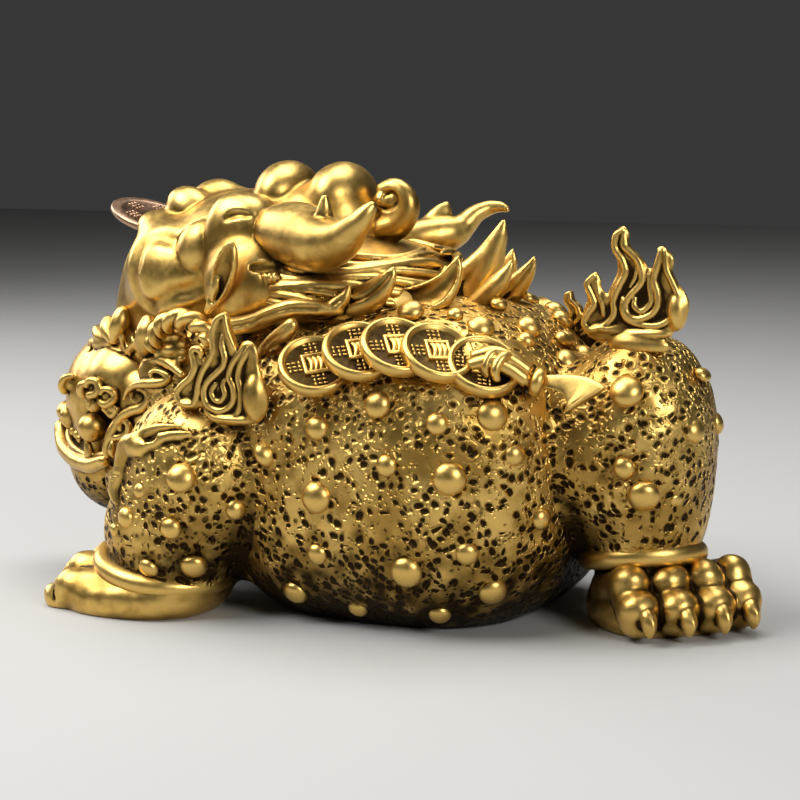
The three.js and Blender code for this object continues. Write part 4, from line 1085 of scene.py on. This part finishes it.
def face_clay():
    """The beast face: the soft union of its masses and balls, with cords for the jaw, curls, petals, scrolls and
    teeth, and a ring of beads round a boss at its side."""
    clay = Clay([-167, -62, 20], [-58, 62, 119], 0.62)
    clay.add(mass([-127, 0, 76.5], [28, 32, 28], -20), 5)
    clay.add(mass([-131.5, 0, 50], [24, 27, 26]), 5)
    clay.add_pair(mass([-115, -12, 84.5], [23, 26, 19], -10), 3)
    clay.carve_pair(cord(clay.settle(FACE_SEAM, 0.1), 4), 0.4)
    for place, half, soft in (([-101, -33, 76], [12, 6, 13], 2), ([-84, -41, 90], [13, 5, 10], 2),
                              ([-149, -8, 64.5], [10, 9, 6], 2), ([-156.8, -6, 66.6], [5.2, 7, 4.9], 0.6),
                              ([-147.6, -17.5, 66.4], [5.2, 5.2, 5.1], 0.5)):
        clay.add_pair(egg(place, half), soft)
    mouth = [[-151, -12, 57, 2.2], [-146, -20, 56.5, 3.2], [-136, -27, 55, 3.4], [-124, -33, 56, 2.6]]
    clay.carve_pair(cord(mouth, 6), 0.8)
    clay.add_pair(cord(JAW, 8), 0.6)
    clay.add_pair(cord(INNER_JAW, 6), 0.4)
    clay.add_pair(egg([-125.9, -33, 64.9], [6.3, 6.3, 6.1]), 0.5)
    for place, radius in (([-145.3, -20.5, 60.4], 1.3), ([-141.1, -23.5, 59.6], 1.3), ([-137.5, -26.5, 58.4], 1.2)):
        clay.add_pair(egg(place, [radius, radius, radius * 1.4]), 0.3)
    for tooth in ([[-129, -31.5, 53.5, 2.2], [-129.4, -31.8, 57, 1.7], [-130.8, -31.5, 61, 0.5]],
                  level(-40, -111.3, 60.1, 1.1, -111.9, 57.1, 1.8, -111.3, 54.9, 0.8)):
        clay.add_pair(cord(tooth), 0.4)
    for curl in FACE_CURLS:
        clay.add_pair(egg(clay.settle([np.mean(curl, axis=0)])[0, :3], [3.2, 2.6, 3.2]), 0.8)
    for curl in FACE_CURLS:
        clay.add_pair(cord(clay.settle(curl, 0.9) * [1, 1, 1, 1.4], 5), 0.15)
    clay.add_pair(egg(clay.settle([[-123.6, -38, 73.9, 1]], 1.8)[0, :3], [3.9, 3.6, 3.8]), 0.4)
    clay.carve_pair(cord(clay.settle(CURL_CUT), 5), 0.4)
    for petal in FACE_PETALS:
        clay.add_pair(cord(petal, 6), 0.4)
    leaf = [[-90.8, -43, 111, 3.2], [-90.2, -44, 107.1, 5], [-91.9, -43, 102.5, 4.6], [-94.6, -41, 98.5, 2.6]]
    clay.add_pair(cord(leaf, 6), 0.5)
    fold = [[-108, -34, 101.5, 1.4], [-104, -37, 103, 1.6], [-100, -40, 105, 1.6], [-96, -41.5, 108, 1.3]]
    fold = clay.settle(fold, 0.4)
    clay.add_pair(cord(fold, 5), 0.6)
    for a, b in zip(fold[:-1], fold[1:]):
        for share in (0.2, 0.7):
            middle = a + (b - a) * share
            stitch = middle + np.array([[0.6, -0.8, -2.6, -1.0], [-0.2, -1.4, 0, -0.9], [-1.2, -0.6, 2.4, -1.0]])
            clay.add_pair(cord(stitch, 3), 0.2)
    for place, half in (([-98.5, -38, 79], [6.2, 2.4, 5.8]), ([-108.5, -37, 66], [4.5, 2.3, 5])):
        clay.add_pair(egg(place, half), 1.5)
    for strand in FACE_SCROLLS:
        clay.add_pair(cord(np.array(strand) * [1, 1, 1, 1.25], 5), 0.3)
    for place, radius in (([-133.7, -20, 95.1], 1.9), ([-128.9, -21, 97.5], 1.7)):
        hole = clay.settle([place + [radius]])[0]
        clay.carve_pair(egg(hole[:3], hole[3]), 0.5)
    clay.add_pair(egg([-78.9, -44, 100.7], [9, 3, 8.4]), 1)
    clay.add_pair(egg([-78.9, -46, 100.7], [3.4, 2.2, 2.4]), 0.8)
    for number in range(11):
        angle = 2 * math.pi * number / 11
        place = [-78.9 + (6.2 + number % 2) * math.cos(angle), -46, 100.7 + (5.6 + number % 3 * 0.4) * math.sin(angle)]
        clay.add_pair(egg(place, [1.8, 1.2, 1.2 + 0.4 * (number % 2)]), 0.9)
    return clay


ROPE = [
    [-88, -45, 101, 3.4], [-85.9, -46.5, 104, 3.9], [-82.5, -48, 108.6, 4.2], [-77.7, -49.5, 111.8, 4.4],
    [-69.8, -51.5, 113.8, 4.4], [-61.6, -53.5, 112.8, 4.3], [-56, -55, 109, 4], [-55, -56, 104, 3.4],
]


def make_face():
    surface = hammered(face_clay().skin(), 0.1, 7, 6)
    under = np.clip((45 - surface[0][:, 2]) / 4, 0, 1) * np.clip((surface[0][:, 0] + 150) / 6, 0, 1)
    piece = Piece("chest_face", kept=0.62).put(surface, under)
    piece.both(swept(ROPE, (0.1, -0.95, 0.3), twisted_section(2, 3.5), 20, 32))
    return piece


# Loose coin in the mouth


def make_mouth_coin():
    """The loose coin: a turned disc with a raised rim and raised signs, tilted as it lies between the lips."""
    radius, half, pitch, roll = 19.0, 1.3, 22, 5
    top = [[0.01, half - 0.25], [radius - 4.2, half - 0.25], [radius - 3.6, half], [radius - 0.6, half],
           [radius, half - 0.5]]
    under = [[r, -h] for r, h in top[::-1]]
    disc = turned_disc((top + under)[::-1], 96)
    piece = Piece("loose_coin", "mouth_coin", "brown_brass")
    matrix = turn(y=pitch) @ turn(x=roll)
    parts = [disc]
    for number, spot in enumerate(((-10.5, 0), (-4.5, -9.5), (-4.5, 9.5), (2, 0))):
        parts += list(inscription(number, spot, 2.9, half - 0.15))
    for part in parts:
        piece.put(placed(part, [-115.4, 0, 150.3], matrix))
    return piece


all_pieces = [make_trunk(), make_warts(), make_front_legs(), make_hind_leg(), make_flames(), make_coins(), make_head(),
              make_curl(), make_hair(), make_face(), make_mouth_coin()]
weather_and_light(all_pieces)


# Finishes


def group(name, inputs, outputs):
    made = bpy.data.node_groups.new(name, "ShaderNodeTree")
    for label, kind, value in inputs:
        socket = made.interface.new_socket(label, in_out="INPUT", socket_type=kind)
        if value is not None:
            socket.default_value = value
    for label, kind in outputs:
        made.interface.new_socket(label, in_out="OUTPUT", socket_type=kind)
    return made, made.nodes.new("NodeGroupInput"), made.nodes.new("NodeGroupOutput")


class Wires:
    """Short ways to add nodes to a tree and join them."""

    def __init__(self, tree):
        self.tree = tree

    def put(self, socket, value):
        if hasattr(value, "is_output"):
            self.tree.links.new(value, socket)
        else:
            socket.default_value = value

    def maths(self, kind, *values):
        node = self.tree.nodes.new("ShaderNodeMath")
        node.operation = kind
        for socket, value in zip(node.inputs, values):
            self.put(socket, value)
        return node.outputs[0]

    def span(self, value, low, high, out_low=0.0, out_high=1.0, smooth=True):
        node = self.tree.nodes.new("ShaderNodeMapRange")
        node.interpolation_type = "SMOOTHSTEP" if smooth else "LINEAR"
        for socket, item in zip(node.inputs, (value, low, high, out_low, out_high)):
            self.put(socket, item)
        return node.outputs[0]

    def noise(self, place, scale, detail=3.0, rough=0.5):
        node = self.tree.nodes.new("ShaderNodeTexNoise")
        self.put(node.inputs["Vector"], place)
        node.inputs["Scale"].default_value = scale
        node.inputs["Detail"].default_value = detail
        node.inputs["Roughness"].default_value = rough
        return node

    def mix(self, share, first, second):
        node = self.tree.nodes.new("ShaderNodeMix")
        node.data_type = "RGBA"
        self.put(node.inputs[0], share)
        self.put(node.inputs[6], first)
        self.put(node.inputs[7], second)
        return node.outputs[2]

    def vector(self, kind, first, second=(0, 0, 0)):
        node = self.tree.nodes.new("ShaderNodeVectorMath")
        node.operation = kind
        self.put(node.inputs[0], first)
        self.put(node.inputs[3 if kind == "SCALE" else 1], second)
        return node.outputs[0]

    def dot(self, first, second):
        return self.vector("DOT_PRODUCT", first, second).node.outputs[1]

    def length(self, value):
        return self.vector("LENGTH", value).node.outputs[1]


def pits_group():
    """Pitted skin: scattered oval dents with faint rims, and small ones between them. Each cell of a scatter in space
    has one centre; the offset to it, laid flat on the surface and stretched along a direction of the cell's own, gives
    the place in the dent, and a dent is there where its centre lies near the surface and the skin is dense enough."""
    tree, into, out = group("Pitted skin", [("Place", "NodeSocketVector", None), ("Facing", "NodeSocketVector", None)],
                            [("Height", "NodeSocketFloat"), ("Pit", "NodeSocketFloat")])
    w = Wires(tree)
    place, facing = into.outputs["Place"], into.outputs["Facing"]
    warp = w.vector("SUBTRACT", w.noise(place, 160.0, 1.0).outputs["Color"], (0.5, 0.5, 0.5))
    bent = w.vector("ADD", place, w.vector("SCALE", warp, 0.003))
    dense = w.span(w.noise(place, 62.0, 2.0).outputs["Fac"], 0.34, 0.5, 0.45, 1.15)
    heights, pits = [], []
    for scale, radius, reach, share in ((250.0, 0.00225, 0.0019, 1.0), (400.0, 0.0011, 0.0009, 0.3)):
        cells = tree.nodes.new("ShaderNodeTexVoronoi")
        w.put(cells.inputs["Vector"], bent)
        cells.inputs["Scale"].default_value = scale
        cells.inputs["Randomness"].default_value = 0.92
        parts = tree.nodes.new("ShaderNodeSeparateColor")
        w.put(parts.inputs[0], cells.outputs["Color"])
        offset = w.vector("SUBTRACT", bent, cells.outputs["Position"])
        depth = w.dot(offset, facing)
        flat = w.vector("SUBTRACT", offset, w.vector("SCALE", facing, depth))
        long = w.vector("NORMALIZE", w.vector("SUBTRACT", cells.outputs["Color"], (0.5, 0.5, 0.5)))
        oval = w.vector("ADD", flat, w.vector("SCALE", long, w.maths("MULTIPLY", w.dot(flat, long), 0.5)))
        size = w.span(parts.outputs[1], 0.0, 1.0, radius * 0.7, radius * 1.05, False)
        near = w.maths("DIVIDE", w.length(oval), size)
        there = w.span(w.maths("ABSOLUTE", depth), reach, reach * 0.7)
        there = w.maths("MULTIPLY", there, w.span(w.maths("SUBTRACT", dense, parts.outputs[0]), 0.0, 0.12))
        there = w.maths("MULTIPLY", there, share)
        bowl = w.maths("MULTIPLY", w.span(near, 1.05, 0.15), there)
        pit = w.maths("MULTIPLY", w.span(near, 0.97, 0.4), there)
        rim = w.maths("MULTIPLY", w.maths("MULTIPLY", w.span(near, 0.75, 1.1), w.span(near, 1.6, 1.1)), there)
        heights.append(w.maths("SUBTRACT", w.maths("MULTIPLY", rim, 0.06), bowl))
        pits.append(pit)
    w.put(out.inputs["Height"], w.maths("ADD", *heights))
    w.put(out.inputs["Pit"], w.maths("MAXIMUM", *pits))
    return tree


def patina_and_light_group():
    """Patina and painted light: dark brown where patina lies and where shade is painted, browner mottling between,
    bright where hands have rubbed it and where a highlight is painted.
    """
    tree, into, out = group("Patina and painted light", [
        ("Place", "NodeSocketVector", None), ("Patina and shade", "NodeSocketFloat", 0.0), ("Worn and lit", "NodeSocketFloat", 0.0),
        ("Bright", "NodeSocketColor", (1, 1, 1, 1)), ("Middle", "NodeSocketColor", (1, 1, 1, 1)),
        ("Dark", "NodeSocketColor", (0, 0, 0, 1))],
        [("Colour", "NodeSocketColor"), ("Roughness", "NodeSocketFloat")])
    w = Wires(tree)
    place = into.outputs["Place"]
    cloud = w.noise(place, 45.0, 4.0, 0.6).outputs["Fac"]
    grain = w.noise(place, 420.0, 3.0, 0.6).outputs["Fac"]
    # The bright tone follows wear on raised places and the painted highlight on faces that look up.
    worn = w.maths("ADD", into.outputs["Worn and lit"], w.span(cloud, 0.35, 0.7, -0.15, 0.3))
    tone = w.mix(w.span(worn, 0.0, 0.5), into.outputs["Middle"], into.outputs["Bright"])
    # The dark share takes patina and painted shade from the hollow attribute, with grain and mottled dirt.
    dirt_and_shade = w.maths("ADD", into.outputs["Patina and shade"], w.maths("MULTIPLY", w.maths("SUBTRACT", grain, 0.5), 0.16))
    dirt_and_shade = w.maths("ADD", dirt_and_shade, w.span(cloud, 0.45, 0.2, 0.0, 0.12))
    # Painted shade: darker towards the bottom of the figure.
    height = tree.nodes.new("ShaderNodeSeparateXYZ")
    w.put(height.inputs[0], place)
    dirt_and_shade = w.maths("ADD", dirt_and_shade, w.span(height.outputs[2], 0.085, 0.0, 0.0, 0.1))
    share = w.span(dirt_and_shade, 0.22, 0.72)
    w.put(out.inputs["Colour"], w.mix(share, tone, into.outputs["Dark"]))
    rough = w.maths("ADD", w.span(share, 0.0, 1.0, 0.36, 0.5), w.span(grain, 0.3, 0.7, -0.03, 0.05))
    w.put(out.inputs["Roughness"], rough)
    return tree


PITS, PATINA_AND_LIGHT = pits_group(), patina_and_light_group()


def brass(name, bright, middle, dark):
    material = bpy.data.materials.new(name)
    material.use_nodes = True
    tree = material.node_tree
    w = Wires(tree)
    shader = tree.nodes["Principled BSDF"]
    shader.inputs["Metallic"].default_value = 1.0
    coordinates = tree.nodes.new("ShaderNodeTexCoord")
    place = coordinates.outputs["Object"]
    facts = {}
    for label in ("pitted", "hollow", "worn"):
        node = tree.nodes.new("ShaderNodeAttribute")
        node.attribute_name = label
        facts[label] = node.outputs["Fac"]
    pits = tree.nodes.new("ShaderNodeGroup")
    pits.node_tree = PITS
    w.put(pits.inputs["Place"], place)
    w.put(pits.inputs["Facing"], coordinates.outputs["Normal"])
    # This group paints patina and dirt with painted shade and a painted highlight.
    patina = tree.nodes.new("ShaderNodeGroup")
    patina.node_tree = PATINA_AND_LIGHT
    # Painted shade in the pits: they are bump only, so their dark colour stands in for the shadow they cannot cast,
    # with the dirt in them.
    pit = w.maths("MULTIPLY", pits.outputs["Pit"], facts["pitted"])
    w.put(patina.inputs["Place"], place)
    w.put(patina.inputs["Patina and shade"], w.maths("ADD", facts["hollow"], w.maths("MULTIPLY", pit, 0.66)))
    w.put(patina.inputs["Worn and lit"], facts["worn"])
    for label, colour in (("Bright", bright), ("Middle", middle), ("Dark", dark)):
        patina.inputs[label].default_value = (*colour, 1)
    w.put(shader.inputs["Base Color"], patina.outputs["Colour"])
    w.put(shader.inputs["Roughness"], patina.outputs["Roughness"])
    fine = w.noise(place, 900.0, 3.0, 0.6).outputs["Fac"]
    wide = w.noise(place, 210.0, 2.0, 0.5).outputs["Fac"]
    height = w.maths("MULTIPLY", w.maths("MULTIPLY", pits.outputs["Height"], facts["pitted"]), 1.5)
    height = w.maths("ADD", height, w.maths("ADD", w.maths("MULTIPLY", fine, 0.025), w.maths("MULTIPLY", wide, 0.07)))
    bump = tree.nodes.new("ShaderNodeBump")
    bump.inputs["Distance"].default_value = 0.001
    bump.inputs["Strength"].default_value = 1.0
    w.put(bump.inputs["Height"], height)
    w.put(shader.inputs["Normal"], bump.outputs[0])
    return material


# Bright shows wear and the painted highlight on upward faces; Dark shows patina, dirt and painted shade.
antique_brass = brass("Antique brass", (0.76, 0.5, 0.14), (0.42, 0.25, 0.055), (0.035, 0.02, 0.007))
brown_brass = brass("Brown brass", (0.46, 0.29, 0.18), (0.17, 0.095, 0.055), (0.06, 0.032, 0.02))
for piece in all_pieces:
    build(piece, brown_brass if piece.slot == "brown_brass" else antique_brass)


# Floor, light and camera


pale_floor = bpy.data.materials.new("Pale floor")
pale_floor.use_nodes = True
floor_shader = pale_floor.node_tree.nodes["Principled BSDF"]
floor_shader.inputs["Base Color"].default_value = (0.42, 0.415, 0.4, 1)
floor_shader.inputs["Roughness"].default_value = 0.8
bpy.ops.mesh.primitive_plane_add(size=6, location=(0, 0, 0))
floor = bpy.context.object
floor.data.materials.append(pale_floor)


def lamp(name, place, size, power):
    data = bpy.data.lights.new(name, "AREA")
    data.shape, data.size, data.energy = "DISK", size, power
    made = bpy.data.objects.new(name, data)
    made.location = place
    made.rotation_euler = (Vector((0, 0, 0.07)) - Vector(place)).to_track_quat("-Z", "Y").to_euler()
    bpy.context.scene.collection.objects.link(made)


lamp("Key light", (-0.6, -0.45, 1.1), 1.0, 20)
lamp("Left light", (-1.25, 0.25, 0.6), 0.7, 7)
lamp("Side light", (1.1, -0.6, 0.65), 0.5, 8)
lamp("Top light", (0.0, 0.3, 1.25), 0.9, 11)
world = bpy.data.worlds.new("Soft grey")
world.use_nodes = True
world.node_tree.nodes["Background"].inputs[0].default_value = (0.55, 0.55, 0.56, 1)
world.node_tree.nodes["Background"].inputs[1].default_value = 0.07
bpy.context.scene.world = world
bpy.context.scene.view_settings.view_transform = "Standard"

# The camera stands 27 degrees round from the left flank and 7.5 degrees up, 0.85 m from the toad's middle.
camera_data = bpy.data.cameras.new("Camera")
camera_data.sensor_width, camera_data.lens = 36, 95.6
camera = bpy.data.objects.new("Camera", camera_data)
camera.location = (0.3826, -0.7509, 0.1910)
camera.rotation_euler = (Vector((0, 0, 0.080)) - camera.location).to_track_quat("-Z", "Y").to_euler()
bpy.context.scene.collection.objects.link(camera)
bpy.context.scene.camera = camera
